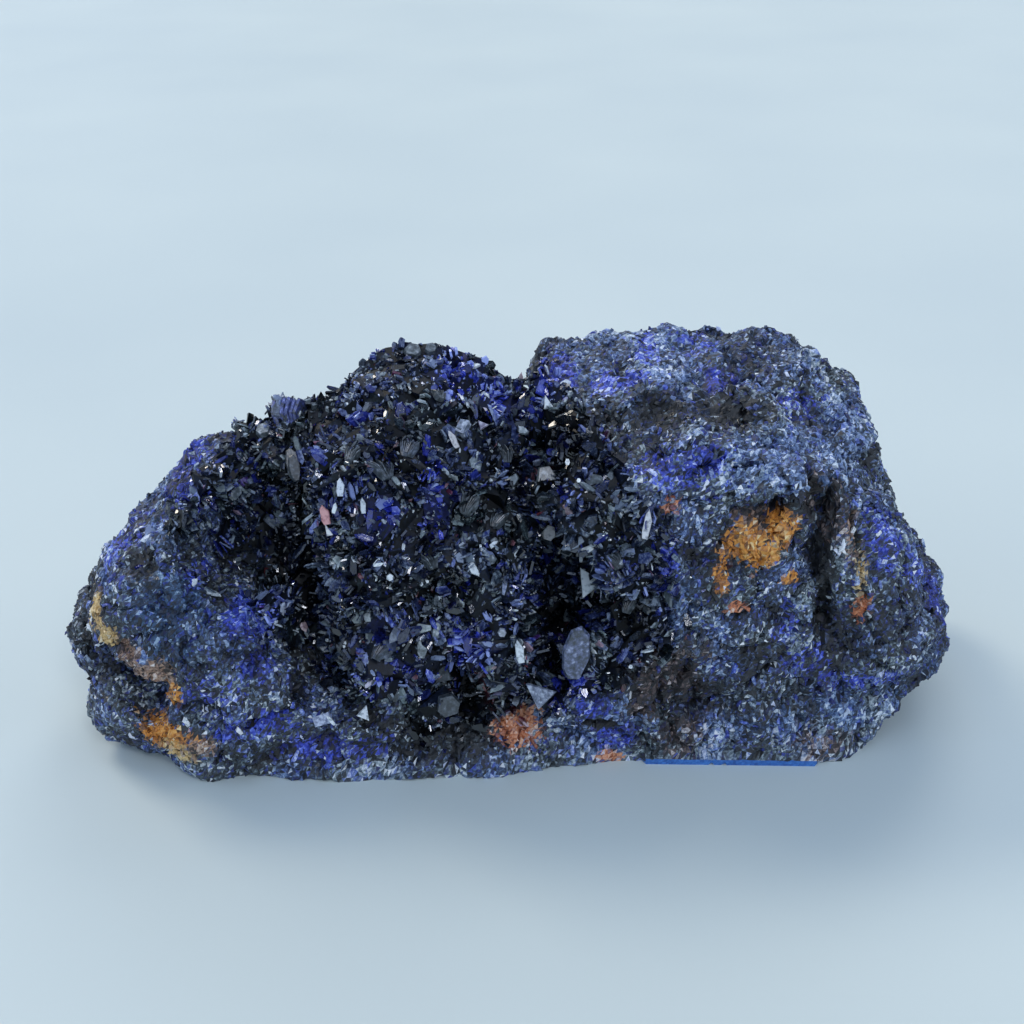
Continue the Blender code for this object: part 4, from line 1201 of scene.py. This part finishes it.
@dataclass
class RockSkin:
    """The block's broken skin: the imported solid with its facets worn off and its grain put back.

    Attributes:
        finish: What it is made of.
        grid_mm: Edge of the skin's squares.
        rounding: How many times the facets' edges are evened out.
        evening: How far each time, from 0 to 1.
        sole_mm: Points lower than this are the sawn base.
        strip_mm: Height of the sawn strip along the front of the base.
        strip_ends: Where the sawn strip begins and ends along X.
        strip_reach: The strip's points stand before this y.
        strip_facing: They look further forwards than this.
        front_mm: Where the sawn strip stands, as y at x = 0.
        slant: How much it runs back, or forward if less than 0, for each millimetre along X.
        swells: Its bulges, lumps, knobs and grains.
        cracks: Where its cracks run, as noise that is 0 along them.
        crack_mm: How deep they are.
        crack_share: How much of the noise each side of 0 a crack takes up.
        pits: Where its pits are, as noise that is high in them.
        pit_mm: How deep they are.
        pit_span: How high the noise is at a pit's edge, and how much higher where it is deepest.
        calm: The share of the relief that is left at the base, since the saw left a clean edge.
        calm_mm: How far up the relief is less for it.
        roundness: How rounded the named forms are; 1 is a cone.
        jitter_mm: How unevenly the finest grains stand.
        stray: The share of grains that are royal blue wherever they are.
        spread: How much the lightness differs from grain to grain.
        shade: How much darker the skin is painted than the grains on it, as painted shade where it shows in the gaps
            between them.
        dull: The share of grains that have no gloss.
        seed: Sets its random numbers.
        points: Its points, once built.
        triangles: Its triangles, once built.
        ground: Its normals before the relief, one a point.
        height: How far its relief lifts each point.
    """

    finish: MassiveAzurite
    grid_mm: float = 0.333
    rounding: int = 12
    evening: float = 0.5
    sole_mm: float = 0.05
    strip_mm: float = 0.60
    strip_ends: Span = (10.4, 24.2)
    strip_reach: float = -9.0
    strip_facing: float = -0.3
    front_mm: float = -12.60
    slant: float = -0.052
    swells: tuple[Swell, ...] = (Swell(0.40, 5.6, 12), Swell(0.55, 2.6, 3), Swell(0.34, 1.25, 4), Swell(0.20, 0.62, 5))
    cracks: Swell = Swell(1.0, 4.2, 6)
    crack_mm: float = 0.75
    crack_share: float = 0.06
    pits: Swell = Swell(1.0, 1.9, 7)
    pit_mm: float = 0.90
    pit_span: Span = (0.46, 0.2)
    calm: float = 0.15
    calm_mm: float = 1.4
    roundness: float = 0.7
    jitter_mm: float = 0.055
    stray: float = 0.05
    spread: float = 0.10
    shade: float = 0.05
    dull: float = 0.93
    seed: int = 11
    points: Array = field(init=False)
    triangles: Array = field(init=False)
    ground: Array = field(init=False)
    height: Array = field(init=False)

    def build(self) -> bpy.types.Object:
        """Builds and dresses the skin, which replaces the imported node.

        Returns:
            The piece.
        """
        copy = bpy.data.objects.new("skin_base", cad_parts["azurite_rock"].data.copy())
        bpy.context.scene.collection.objects.link(copy)
        remesh = copy.modifiers.new("Remesh", "REMESH")
        remesh.mode = "VOXEL"
        remesh.voxel_size = self.grid_mm * MM
        apply_modifiers(copy)
        before, _ = skin_of(copy)
        smooth = copy.modifiers.new("Smooth", "SMOOTH")
        smooth.factor = self.evening
        smooth.iterations = self.rounding
        apply_modifiers(copy)
        even, self.triangles = skin_of(copy)
        bpy.data.objects.remove(copy)
        under = before[:, 2] < self.sole_mm
        even[under] = before[under]
        _, _, self.ground = normals_of(even, self.triangles)
        self.height = self._lift(even)
        self.points = even + self._relief()
        self.points[under, 2] = 0.0
        strip = self._strip(even)
        self.points[strip] = even[strip]
        self.points[strip, 1] = self.front_mm + self.slant * even[strip, 0]
        self.points[:, 2] = np.maximum(self.points[:, 2], 0.0)
        values = self._values((under | strip)[self.triangles].all(axis=1))
        piece = mesh_piece("rock_skin", self.points, self.triangles, self.finish.material(), values)
        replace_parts(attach(piece, BODY), "azurite_rock")
        return piece

    def _strip(self, even: Array) -> Array:
        """Finds the sawn strip, which stands along the front of the base.

        Args:
            even: The evened skin.

        Returns:
            True for each of the strip's points.
        """
        start, end = self.strip_ends
        x, y, z = even.T
        low = (z < self.strip_mm) & (y < self.strip_reach) & (self.ground[:, 1] < self.strip_facing)
        return low & (x > start) & (x < end)

    def _lift(self, even: Array) -> Array:
        """How far out each point moves: swells, cracks, pits and the named forms.

        Args:
            even: The evened skin.

        Returns:
            One distance a point, in millimetres.
        """
        lift = sum(swell.at(even) for swell in self.swells)
        lift -= self.crack_mm * np.clip(1 - np.abs(self.cracks.at(even)) / self.crack_share, 0, 1)
        edge, rise = self.pit_span
        lift -= self.pit_mm * np.clip((self.pits.at(even) - edge) / rise, 0, 1)
        lift *= np.clip(self.calm + even[:, 2] / self.calm_mm, 0, 1)
        for form in FORMS:
            reach = np.linalg.norm((even - form.centre) / form.radii, axis=1)
            lift += form.lift * np.clip(1 - reach, 0, 1) ** self.roundness
        return lift

    def _relief(self) -> Array:
        """How each point moves, in millimetres: its lift along the normal, and a little jitter."""
        draw = np.random.default_rng(self.seed)
        return self.ground * self.height[:, None] + draw.normal(0.0, self.jitter_mm, self.ground.shape)

    def _values(self, sawn: Array) -> dict[str, Array]:
        """Works out how each triangle looks.

        Args:
            sawn: True for each triangle that the saw left.

        Returns:
            The attributes, one value a triangle.
        """
        draw = np.random.default_rng(self.seed + 1)
        middles = self.points[self.triangles].mean(axis=1)
        tones = settled_tones(middles, draw, self.stray)
        tones[Tone.SAWN] = sawn.astype(float)
        values = {tone.value: weight for tone, weight in tones.items()}
        deep = self.height[self.triangles].mean(axis=1)
        values.update(GrainLight().values(middles, deep, draw, self.spread))
        # Painted shade where the skin shows in the gaps between grains. A stain fills the gaps, so it isn't darker
        # there.
        values["tint"] = np.clip(values["tint"] - self.shade * (1 - stained(tones)), 0, 1)
        values["gloss"] = (draw.random(len(middles)) > self.dull) * draw.random(len(middles))
        return values


@dataclass
class Grains:
    """Azurite grains that stand on the broken skin, most of them flat on it and drawn out along its fibres.

    Attributes:
        skin: What they stand on.
        material: What they are made of.
        count: How many in each piece.
        width_mm: Smallest and largest width of a grain.
        fineness: How many more small ones than large ones there are; 1 is as many.
        length: How much longer than wide a grain is, at least and at most.
        thickness: How thick it is against its width, at least and at most.
        fibre: Which way the mineral's fibres run.
        wander: How far a grain strays from the fibres, from the skin's plane, and in which way its flat side looks.
        sunk_mm: How deep the middle of a grain is under the skin.
        chipped_mm: How unevenly its corners are broken.
        clear_mm: How high above the base the grains begin.
        lowest_mm: How close to the base a corner comes.
        stray: The share of grains that are royal blue wherever they are.
        spread: How much the lightness differs from grain to grain.
        dull: The share of grains that have no gloss.
        seed: Sets their random numbers.
    """

    skin: RockSkin
    material: bpy.types.Material
    count: int = 16000
    width_mm: Span = (0.16, 0.42)
    fineness: float = 2.5
    length: Span = (1.2, 3.4)
    thickness: Span = (0.5, 0.95)
    fibre: Triple = (0.10, 0.35, 1.0)
    wander: Triple = (0.50, 0.28, 0.45)
    sunk_mm: float = 0.06
    chipped_mm: float = 0.03
    clear_mm: float = 0.9
    lowest_mm: float = 0.05
    stray: float = 0.10
    spread: float = 0.14
    dull: float = 0.75
    seed: int = 21

    def build(self, name: str, extra: int) -> bpy.types.Object:
        """Builds the grains as one piece.

        Args:
            name: The piece's name.
            extra: Makes each piece's random numbers its own.

        Returns:
            The piece.
        """
        draw = np.random.default_rng(self.seed + extra)
        points, triangles = self.skin.points, self.skin.triangles
        _, area, _ = normals_of(points, triangles)
        clear = (points[triangles].min(axis=1)[:, 2] > self.clear_mm).astype(float)
        roots, chosen = scattered(points, triangles, area * clear, self.count, draw)
        upward = self.skin.ground[triangles[chosen, 0]]
        off_fibre, off_skin, off_flat = self.wander
        axes = unit(np.array(self.fibre) + draw.normal(0, off_fibre, upward.shape))
        along = axes - upward * (axes * upward).sum(axis=1, keepdims=True)
        axes = unit(along + off_skin * draw.normal(0, 1, axes.shape))
        flats = upward + draw.normal(0, off_flat, upward.shape)
        narrow, wide = self.width_mm
        width = narrow + (wide - narrow) * draw.random(self.count) ** self.fineness
        length = width * draw.uniform(*self.length, self.count)
        sizes = np.stack([length, width, width * draw.uniform(*self.thickness, self.count)], axis=1)
        solid, faces = grown(GRAIN, roots - upward * self.sunk_mm, axes, flats, sizes)
        solid += draw.normal(0, self.chipped_mm, solid.shape)
        solid[:, 2] = np.maximum(solid[:, 2], self.lowest_mm)
        looks = {tone.value: weight for tone, weight in settled_tones(roots, draw, self.stray).items()}
        deep = self.skin.height[triangles[chosen]].mean(axis=1)
        looks.update(GrainLight().values(roots, deep, draw, self.spread))
        looks["gloss"] = (draw.random(self.count) > self.dull) * draw.random(self.count)
        values = {label: np.repeat(value, len(GRAIN.triangles)) for label, value in looks.items()}
        piece = mesh_piece(name, solid, faces, self.material, values)
        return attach(piece, BODY)


@dataclass
class CrustBed:
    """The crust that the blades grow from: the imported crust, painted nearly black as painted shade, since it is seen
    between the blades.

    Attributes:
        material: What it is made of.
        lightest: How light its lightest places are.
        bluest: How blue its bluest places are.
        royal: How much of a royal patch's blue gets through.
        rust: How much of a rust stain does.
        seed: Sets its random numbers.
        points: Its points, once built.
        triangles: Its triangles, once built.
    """

    material: bpy.types.Material
    lightest: float = 0.5
    bluest: float = 0.5
    royal: float = 0.25
    rust: float = 0.6
    seed: int = 31
    points: Array = field(init=False)
    triangles: Array = field(init=False)

    def build(self) -> bpy.types.Object:
        """Builds the bed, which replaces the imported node.

        Returns:
            The piece.
        """
        draw = np.random.default_rng(self.seed)
        self.points, self.triangles = skin_of(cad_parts["crystal_crust"])
        tones = tones_at(self.points[self.triangles].mean(axis=1))
        count = len(self.triangles)
        values = {
            # Painted shade: darker still where the shade tone lies.
            "tint": self.lightest * draw.random(count) * (1 - tones[Tone.PAINTED_SHADE]),
            "hue": self.bluest * draw.random(count),
            "glow": np.zeros(count),
            "royal": self.royal * tones[Tone.ROYAL],
            "umber": tones[Tone.UMBER],
            "rust": self.rust * tones[Tone.RUST],
        }
        piece = mesh_piece("crust_bed", self.points, self.triangles, self.material, values)
        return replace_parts(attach(piece, BODY), "crystal_crust")


class Ground:
    """Finds which way the rock looks near a place."""

    def __init__(self, skin: RockSkin) -> None:
        """Takes the skin whose normals it gives."""
        self._normals = skin.ground
        self._triangles = skin.triangles
        self._tree = BVHTree.FromPolygons(skin.points.tolist(), skin.triangles.tolist())

    def normals(self, places: Array) -> Array:
        """The rock's evened normal nearest to each place."""
        found = [self._tree.find_nearest(Vector(place))[2] for place in places.tolist()]
        return self._normals[self._triangles[np.array(found), 0]]


@dataclass(frozen=True)
class Habit:
    """How one kind of the druse's tablets grows.

    Attributes:
        name: The piece's name.
        shapes: Their shapes, shared out among the stacks.
        stacks: How many stacks there are.
        leaves: How many tablets a stack has at least, and one more than it has at most.
        upright: True if they stand up, False if they lie like scales.
        stray: How far they stray from that.
        thicker_mm: How much thicker the largest is than the smallest.
    """

    name: str
    shapes: tuple[Shape, ...]
    stacks: int
    leaves: tuple[int, int]
    upright: bool
    stray: float
    thicker_mm: float


HABITS = (
    Habit("druse_scales", SCALES, 6800, (1, 3), False, 0.50, 0.14),
    Habit("druse_blades", BLADES, 2650, (3, 7), True, 0.40, 0.09),
)


@dataclass
class Druse:
    """The druse: small azurite tablets on the crust, some lying like scales and some upright in fanned stacks.

    Attributes:
        bed: The crust that they grow on.
        skin: The rock beside it.
        material: What they are made of.
        beside: The share of stacks that grow on the rock beside the crust.
        fringe_mm: How close to the crust they are as dense as on it, and how far they spread from it.
        thinning: How fast they thin out between the two; 1 is evenly.
        hollows: The rock that is looked over for them: largest y, least z, middle x and half its width.
        sunk_mm: How far the roots lie under the crust's skin.
        sunk: The share of a tablet's length that is in the ground.
        length_mm: Length of the smallest tablet, and how much longer the largest is.
        width_mm: Its width, and how much wider the largest is.
        thin_mm: Its thickness.
        fineness: How many more small ones than large ones there are; 1 is as many.
        uneven: How much a tablet's length, width and thickness differ from that, at least and at most.
        worn: How much shorter they are over the crown, the height where this begins and over how much it grows.
        fan: How far a tablet turns from the next in its stack, in radians, at least and at most.
        apart: How far a tablet stands from the next, as a share of its thickness.
        turns: How the lean of the stacks drifts, along X, Y and Z.
        alike: How their lightness drifts.
        drift: How their blueness drifts.
        flash: The share of small ones painted white as highlights, as if each turned a face straight to the light, and
            how large they are at most.
        ruddy: The share that iron has tinted.
        seed: Sets their random numbers.
    """

    bed: CrustBed
    skin: RockSkin
    material: bpy.types.Material
    beside: float = 0.16
    fringe_mm: Span = (0.5, 2.2)
    thinning: float = 1.5
    hollows: tuple[float, float, float, float] = (3.0, 1.5, -7.0, 24.0)
    sunk_mm: float = 0.04
    sunk: float = 0.40
    length_mm: Span = (0.38, 1.25)
    width_mm: Span = (0.20, 0.62)
    thin_mm: float = 0.07
    fineness: float = 3.0
    uneven: tuple[Span, Span, Span] = ((0.7, 1.3), (0.6, 1.3), (0.7, 1.3))
    worn: Triple = (0.45, 28.0, 1.5)
    fan: Span = (0.04, 0.26)
    apart: float = 1.2
    turns: tuple[Swell, ...] = (Swell(2.2, 1.7, 32), Swell(2.2, 1.7, 33), Swell(2.2, 1.7, 34))
    alike: Swell = Swell(1.3, 2.2, 31)
    drift: Swell = Swell(1.0, 3.5, 8)
    flash: Span = (0.035, 0.3)
    ruddy: float = 0.02
    seed: int = 41

    def build(self) -> list[bpy.types.Object]:
        """Builds the druse, one piece for each habit.

        Returns:
            The pieces.
        """
        draw = np.random.default_rng(self.seed)
        places, ground = self._ground(sum(habit.stacks for habit in HABITS), draw)
        pieces, start = [], 0
        for habit in HABITS:
            mine = slice(start, start + habit.stacks)
            pieces.append(self._piece(habit, places[mine], ground[mine], draw))
            start += habit.stacks
        return pieces

    def _ground(self, count: int, draw: np.random.Generator) -> tuple[Array, Array]:
        """Finds where the stacks grow, on the crust and on the rock beside it.

        Args:
            count: How many stacks.
            draw: The random numbers.

        Returns:
            Their roots, and which way the ground looks at each.
        """
        points, triangles = self.bed.points, self.bed.triangles
        facing, area, _ = normals_of(points, triangles)
        outward = Ground(self.skin).normals(points[triangles].mean(axis=1))
        weight = area * ((facing * outward).sum(axis=1) > 0.05)
        beside = round(count * self.beside)
        roots, chosen = scattered(points, triangles, weight, count - beside, draw)
        ground = unit(outward[chosen] + 0.6 * facing[chosen])
        extra, on = scattered(self.skin.points, self.skin.triangles, self._fringe(), beside, draw)
        roots = np.concatenate([roots, extra])
        ground = np.concatenate([ground, self.skin.ground[self.skin.triangles[on, 0]]])
        mixed = draw.permutation(count)
        return roots[mixed], ground[mixed]

    def _fringe(self) -> Array:
        """Finds the rock that carries stacks: near the crust, and in its open hollows.

        Returns:
            How likely each of the rock's triangles is to carry one.
        """
        points, triangles = self.skin.points, self.skin.triangles
        middles = points[triangles].mean(axis=1)
        _, area, _ = normals_of(points, triangles)
        tree = BVHTree.FromPolygons(self.bed.points.tolist(), self.bed.triangles.tolist())
        close, far = self.fringe_mm
        behind, low, middle, half = self.hollows
        x, y, z = middles.T
        reach = np.full(len(middles), np.inf)
        for i in np.flatnonzero((y < behind) & (z > low) & (np.abs(x - middle) < half)).tolist():
            found = tree.find_nearest(Vector(middles[i]), far)
            if found[3] is not None:
                reach[i] = found[3]
        share = np.clip(1 - (reach - close) / (far - close), 0, 1)
        return area * np.maximum(share**self.thinning, tones_at(middles)[Tone.DRUSE])

    def _piece(self, habit: Habit, roots: Array, ground: Array, draw: np.random.Generator) -> bpy.types.Object:
        """Builds stacks of tablets as one piece.

        Args:
            habit: How they grow.
            roots: Where each stack is.
            ground: Which way the ground looks there.
            draw: The random numbers.

        Returns:
            The piece.
        """
        stacks = len(roots)
        counts = draw.integers(*habit.leaves, stacks)
        owner = np.repeat(np.arange(stacks), counts)
        order = np.concatenate([np.arange(n) - (n - 1) / 2 for n in counts])
        count = len(owner)
        # Neighbours grew together, so they lean alike.
        wild = np.stack([swell.at(roots) for swell in self.turns], axis=1)
        wild += draw.normal(0, 0.55, ground.shape)
        first = unit(ground + habit.stray * wild)
        second = np.cross(first, wild[:, ::-1] + draw.normal(0, 0.5, first.shape))
        lean, flat = (first, unit(second)) if habit.upright else (unit(second + 0.3 * ground), first)
        size = (draw.random(stacks) ** self.fineness)[owner]
        worn, above, over = self.worn
        crown = 1 - worn * np.clip((roots[owner, 2] - above) / over, 0, 1)
        (short, longer), (narrow, wider) = self.length_mm, self.width_mm
        long_by, wide_by, thick_by = self.uneven
        length = (short + longer * size) * draw.uniform(*long_by, count) * crown
        width = (narrow + wider * size) * draw.uniform(*wide_by, count)
        thick = (self.thin_mm + habit.thicker_mm * size) * draw.uniform(*thick_by, count)
        fan = draw.uniform(*self.fan, stacks)[owner] * order
        axes = unit(lean[owner] + flat[owner] * fan[:, None] + draw.normal(0, 0.08, (count, 3)))
        flats = flat[owner] - lean[owner] * fan[:, None] + draw.normal(0, 0.12, (count, 3))
        shift = draw.normal(0, 0.12, (count, 3)) * length[:, None]
        sunk = lean[owner] * (self.sunk * length)[:, None] + ground[owner] * self.sunk_mm
        places = roots[owner] + flat[owner] * (order * thick * self.apart)[:, None] - sunk + shift
        looks = self._looks(roots, owner, size, draw)
        kinds = draw.integers(0, len(habit.shapes), stacks)[owner]
        sizes = np.stack([length, width, thick], axis=1)
        solids, rows = Gathered(), []
        for kind, shape in enumerate(habit.shapes):
            mine = np.flatnonzero(kinds == kind)
            solids.add(*grown(shape, places[mine], axes[mine], flats[mine], sizes[mine]))
            rows.append(np.repeat(mine, len(shape.triangles)))
        row = np.concatenate(rows)
        values = {label: value[row] for label, value in looks.items()}
        piece = mesh_piece(habit.name, *solids.joined(), self.material, values)
        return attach(piece, BODY)

    def _looks(self, roots: Array, owner: Array, size: Array, draw: np.random.Generator) -> dict[str, Array]:
        """Works out how each tablet looks.

        Args:
            roots: Where each stack is.
            owner: The number of each tablet's stack.
            size: How large each tablet is, from 0 to 1.
            draw: The random numbers.

        Returns:
            The attributes, one value a tablet.
        """
        count = len(owner)
        tones = {tone: weight[owner] for tone, weight in settled_tones(roots, draw, 0.04).items()}
        royal = tones[Tone.ROYAL] * draw.uniform(0.7, 1.0, count)
        # Painted shade: where the shade tone lies, tablets are darker, less blue and less rusty, and not painted as
        # highlights.
        open_light = 1 - tones[Tone.PAINTED_SHADE]
        light = tones[Tone.PAINTED_LIGHT]
        # Painted highlights: a share of tablets gets the pale glint layer, more where light is painted, and some small
        # ones are painted white.
        lit = (draw.random(count) > 0.90 - 0.08 * light) * open_light
        flashing, small = self.flash
        flash = (draw.random(count) > 1 - flashing) & (size < small) & (open_light > 0.5)
        ruddy = (draw.random(count) > 1 - self.ruddy) * draw.uniform(0.1, 0.5, count)
        # Neighbours are about as light as one another.
        alike = np.clip(0.5 + self.alike.at(roots), 0, 1)[owner]
        # Painted light lightens the tint and painted shade darkens it.
        tint = (0.70 * draw.random(count) + 0.44 * alike + 0.24 * light) * (0.25 + 0.75 * open_light)
        return {
            "tint": np.where(flash, 1.0, tint),
            "hue": np.clip(0.36 + self.drift.at(roots)[owner] + draw.normal(0, 0.15, count), 0, 1),
            "glow": np.where(flash, 1.0, lit * draw.uniform(0.15, 1.0, count)),
            "royal": royal * (0.4 + 0.6 * open_light),
            "umber": tones[Tone.UMBER],
            "rust": np.maximum(0.5 * tones[Tone.RUST], ruddy * open_light),
        }


@dataclass
class StandingCrystals:
    """The crystals that stand out of the druse, each placed by name.

    Attributes:
        material: What they are made of.
        fan: How far each blade of a fan turns from the next, in radians.
        apart: How far it stands from the next, as a share of its thickness.
        uneven: How much the blades of a fan differ in size, at least and at most.
        lighter: How much lighter than its painted glint a blade's tint is.
        spread: How much the tint differs from blade to blade.
        hue: How blue they are.
        seed: Sets their random numbers.
    """

    material: bpy.types.Material
    fan: float = 0.10
    apart: float = 0.9
    uneven: Span = (0.75, 1.1)
    lighter: float = 0.10
    spread: float = 0.08
    hue: float = 0.25
    seed: int = 51

    def build(self) -> bpy.types.Object:
        """Builds them as one piece.

        Returns:
            The piece.
        """
        draw = np.random.default_rng(self.seed)
        solids, rows = Gathered(), []
        for hero in HEROES:
            plate, count = PLATES[hero.outline], hero.leaves
            order = np.arange(count) - (count - 1) / 2
            axis, facing = (np.tile(way, (count, 1)) for way in (hero.axis, hero.facing))
            fan = (self.fan * order)[:, None]
            places = np.array(hero.root) + facing * (self.apart * hero.size[2] * order)[:, None]
            sizes = np.tile(hero.size, (count, 1)) * draw.uniform(*self.uneven, (count, 1))
            solids.add(*grown(plate, places, axis + facing * fan, facing - axis * fan, sizes))
            # The lightest blades are painted highlights.
            tints = np.clip(hero.glow + self.lighter + draw.normal(0, self.spread, count), 0, 1)
            looks = np.array([(tint, self.hue, hero.glow, hero.blue, 0.0, hero.rose) for tint in tints])
            rows.append(np.repeat(looks, len(plate.triangles), axis=0))
        table = np.concatenate(rows)
        values = {label: table[:, i] for i, label in enumerate(("tint", "hue", "glow", "royal", "umber", "rust"))}
        piece = mesh_piece("standing_crystals", *solids.joined(), self.material, values)
        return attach(piece, BODY)


@dataclass(frozen=True)
class Lamp:
    """A square area light that looks at the specimen.

    Attributes:
        name: Its name.
        place: Where it stands, in metres.
        side: Its side, in metres.
        power: Its power, in watts.
        colour: Its colour, as sRGB hex.
    """

    name: str
    place: Triple
    side: float
    power: float
    colour: str

    def build(self, aim: Triple) -> None:
        """Adds it to the scene.

        Args:
            aim: The place that it looks at, in metres.
        """
        data = bpy.data.lights.new(self.name, "AREA")
        data.shape = "SQUARE"
        data.size = self.side
        data.energy = self.power
        data.color = hex_to_linear(self.colour)[:3]
        light = bpy.data.objects.new(self.name, data)
        light.location = self.place
        light.rotation_euler = (Vector(aim) - Vector(self.place)).to_track_quat("-Z", "Y").to_euler()
        bpy.context.scene.collection.objects.link(light)


@dataclass
class Studio:
    """The pale floor, the room, the lamps and the camera.

    Attributes:
        eye_mm: Where the camera is.
        pitch: How far it looks down, in degrees.
        roll: How far it leans, in degrees.
        focal_px: Its focal length, in pixels of the view.
        side_px: How wide the view is, in pixels.
        floor_m: Half the floor's width.
        overhead: Which way the room is brightest.
        overhead_span: How far a place lies that way where the room is darkest, and where it is brightest.
        overhead_light: How bright it is at each.
        room_grain: How small the room's windows and furniture are.
        room_span: The noise at which the furniture ends and a window begins.
        room_light: How bright each is.
        sky: The room's colour.
        lamps: A wide window behind on the left, and two soft panels.
        aim: What the lamps look at, in metres.
    """

    eye_mm: Triple = (0.0792, -109.4759, 74.5018)
    pitch: float = 28.0
    roll: float = 1.1
    focal_px: float = 1487.0
    side_px: float = 1024.0
    floor_m: float = 1.6
    overhead: Triple = (-0.12, 0.25, 0.96)
    overhead_span: Span = (-0.35, 1.0)
    overhead_light: Span = (0.34, 1.10)
    room_grain: float = 2.6
    room_span: Span = (0.42, 0.60)
    room_light: Span = (0.15, 1.9)
    sky: str = "#c2d9fb"
    lamps: tuple[Lamp, ...] = (
        Lamp("window", (-1.45, 1.25, 1.95), 0.85, 25.0, "#fff6e6"),
        Lamp("back_panel", (0.15, 0.62, 0.60), 0.4, 1.2, "#fbfaf6"),
        Lamp("front_panel", (0.32, -0.75, 0.75), 0.25, 2.5, "#eef3ff"),
    )
    aim: Triple = (0.0, 0.0, 0.015)

    def build(self) -> None:
        """Builds all of it."""
        self._floor()
        self._camera()
        self._room()
        for lamp in self.lamps:
            lamp.build(self.aim)
        bpy.context.scene.view_settings.view_transform = "Standard"
        bpy.context.scene.view_settings.look = "None"

    def _floor(self) -> None:
        """A flat board, far wider than the view."""
        work = bmesh.new()
        bmesh.ops.create_grid(work, x_segments=1, y_segments=1, size=self.floor_m)
        mesh = bpy.data.meshes.new("floor")
        work.to_mesh(mesh)
        work.free()
        mesh.materials.append(PaintedBoard().material())
        floor = bpy.data.objects.new("floor", mesh)
        bpy.context.scene.collection.objects.link(floor)

    def _camera(self) -> None:
        """A camera that looks down at the front."""
        data = bpy.data.cameras.new("camera")
        data.sensor_width = 36.0
        data.angle = 2 * math.atan(self.side_px / 2 / self.focal_px)
        data.clip_start = 0.005
        data.clip_end = 10.0
        camera = bpy.data.objects.new("camera", data)
        camera.matrix_world = (
            Matrix.Translation(Vector(self.eye_mm) * MM)
            @ Matrix.Rotation(math.radians(90 - self.pitch), 4, "X")
            @ Matrix.Rotation(-math.radians(self.roll), 4, "Z")
        )
        bpy.context.scene.collection.objects.link(camera)
        bpy.context.scene.camera = camera

    def _room(self) -> None:
        """A room that is brightest overhead and behind.

        It is light where its windows are and dark where its furniture is, which gives glassy faces their contrast.
        """
        world = bpy.data.worlds.new("room")
        world.use_nodes = True
        tree = world.node_tree
        way = add_node(tree, "TexCoord").outputs["Generated"]
        up = add_node(
            tree, "VectorMath", {"operation": "DOT_PRODUCT", 1: self.overhead}, {0: way}
        ).outputs["Value"]
        windows = add_node(
            tree, "TexNoise", {"Scale": self.room_grain, "Detail": 1.0, "Roughness": 0.5}, {"Vector": way}
        ).outputs["Fac"]
        bright, patched = (
            add_node(
                tree,
                "MapRange",
                {"From Min": start, "From Max": end, "To Min": dim, "To Max": full},
                {"Value": source},
            ).outputs["Result"]
            for source, (start, end), (dim, full) in (
                (up, self.overhead_span, self.overhead_light),
                (windows, self.room_span, self.room_light),
            )
        )
        strength = add_node(tree, "Math", {"operation": "MULTIPLY"}, {0: bright, 1: patched}).outputs[0]
        background = tree.nodes["Background"]
        background.inputs["Color"].default_value = hex_to_linear(self.sky)
        tree.links.new(strength, background.inputs["Strength"])
        bpy.context.scene.world = world


def report(piece: bpy.types.Object) -> None:
    """Logs a piece and how many triangles it has."""
    log.info("%s: %d triangles", piece.name, len(piece.data.polygons))


def main() -> None:
    """Builds every piece, in order, and logs how many triangles each piece has."""
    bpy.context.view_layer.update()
    skin = RockSkin(MassiveAzurite())
    rock = skin.build()
    report(rock)
    grains = Grains(skin, rock.data.materials[0])
    for number, name in enumerate(("rock_grains_coarse", "rock_grains_fine")):
        report(grains.build(name, number))
    blades = AzuriteBlades().material()
    # The crust between the blades is dark and its reflection dimmed, as painted shade.
    bed = CrustBed(AzuriteBlades("azurite_crust_between_blades", roughness=0.45, shine=0.12).material())
    report(bed.build())
    for piece in Druse(bed, skin, blades).build():
        report(piece)
    worn = AzuriteBlades("azurite_worn_faces", roughness=0.34, mottle=2.4).material()
    report(StandingCrystals(worn).build())
    Studio().build()
    bpy.context.view_layer.update()


if __name__ == "__main__":
    main()
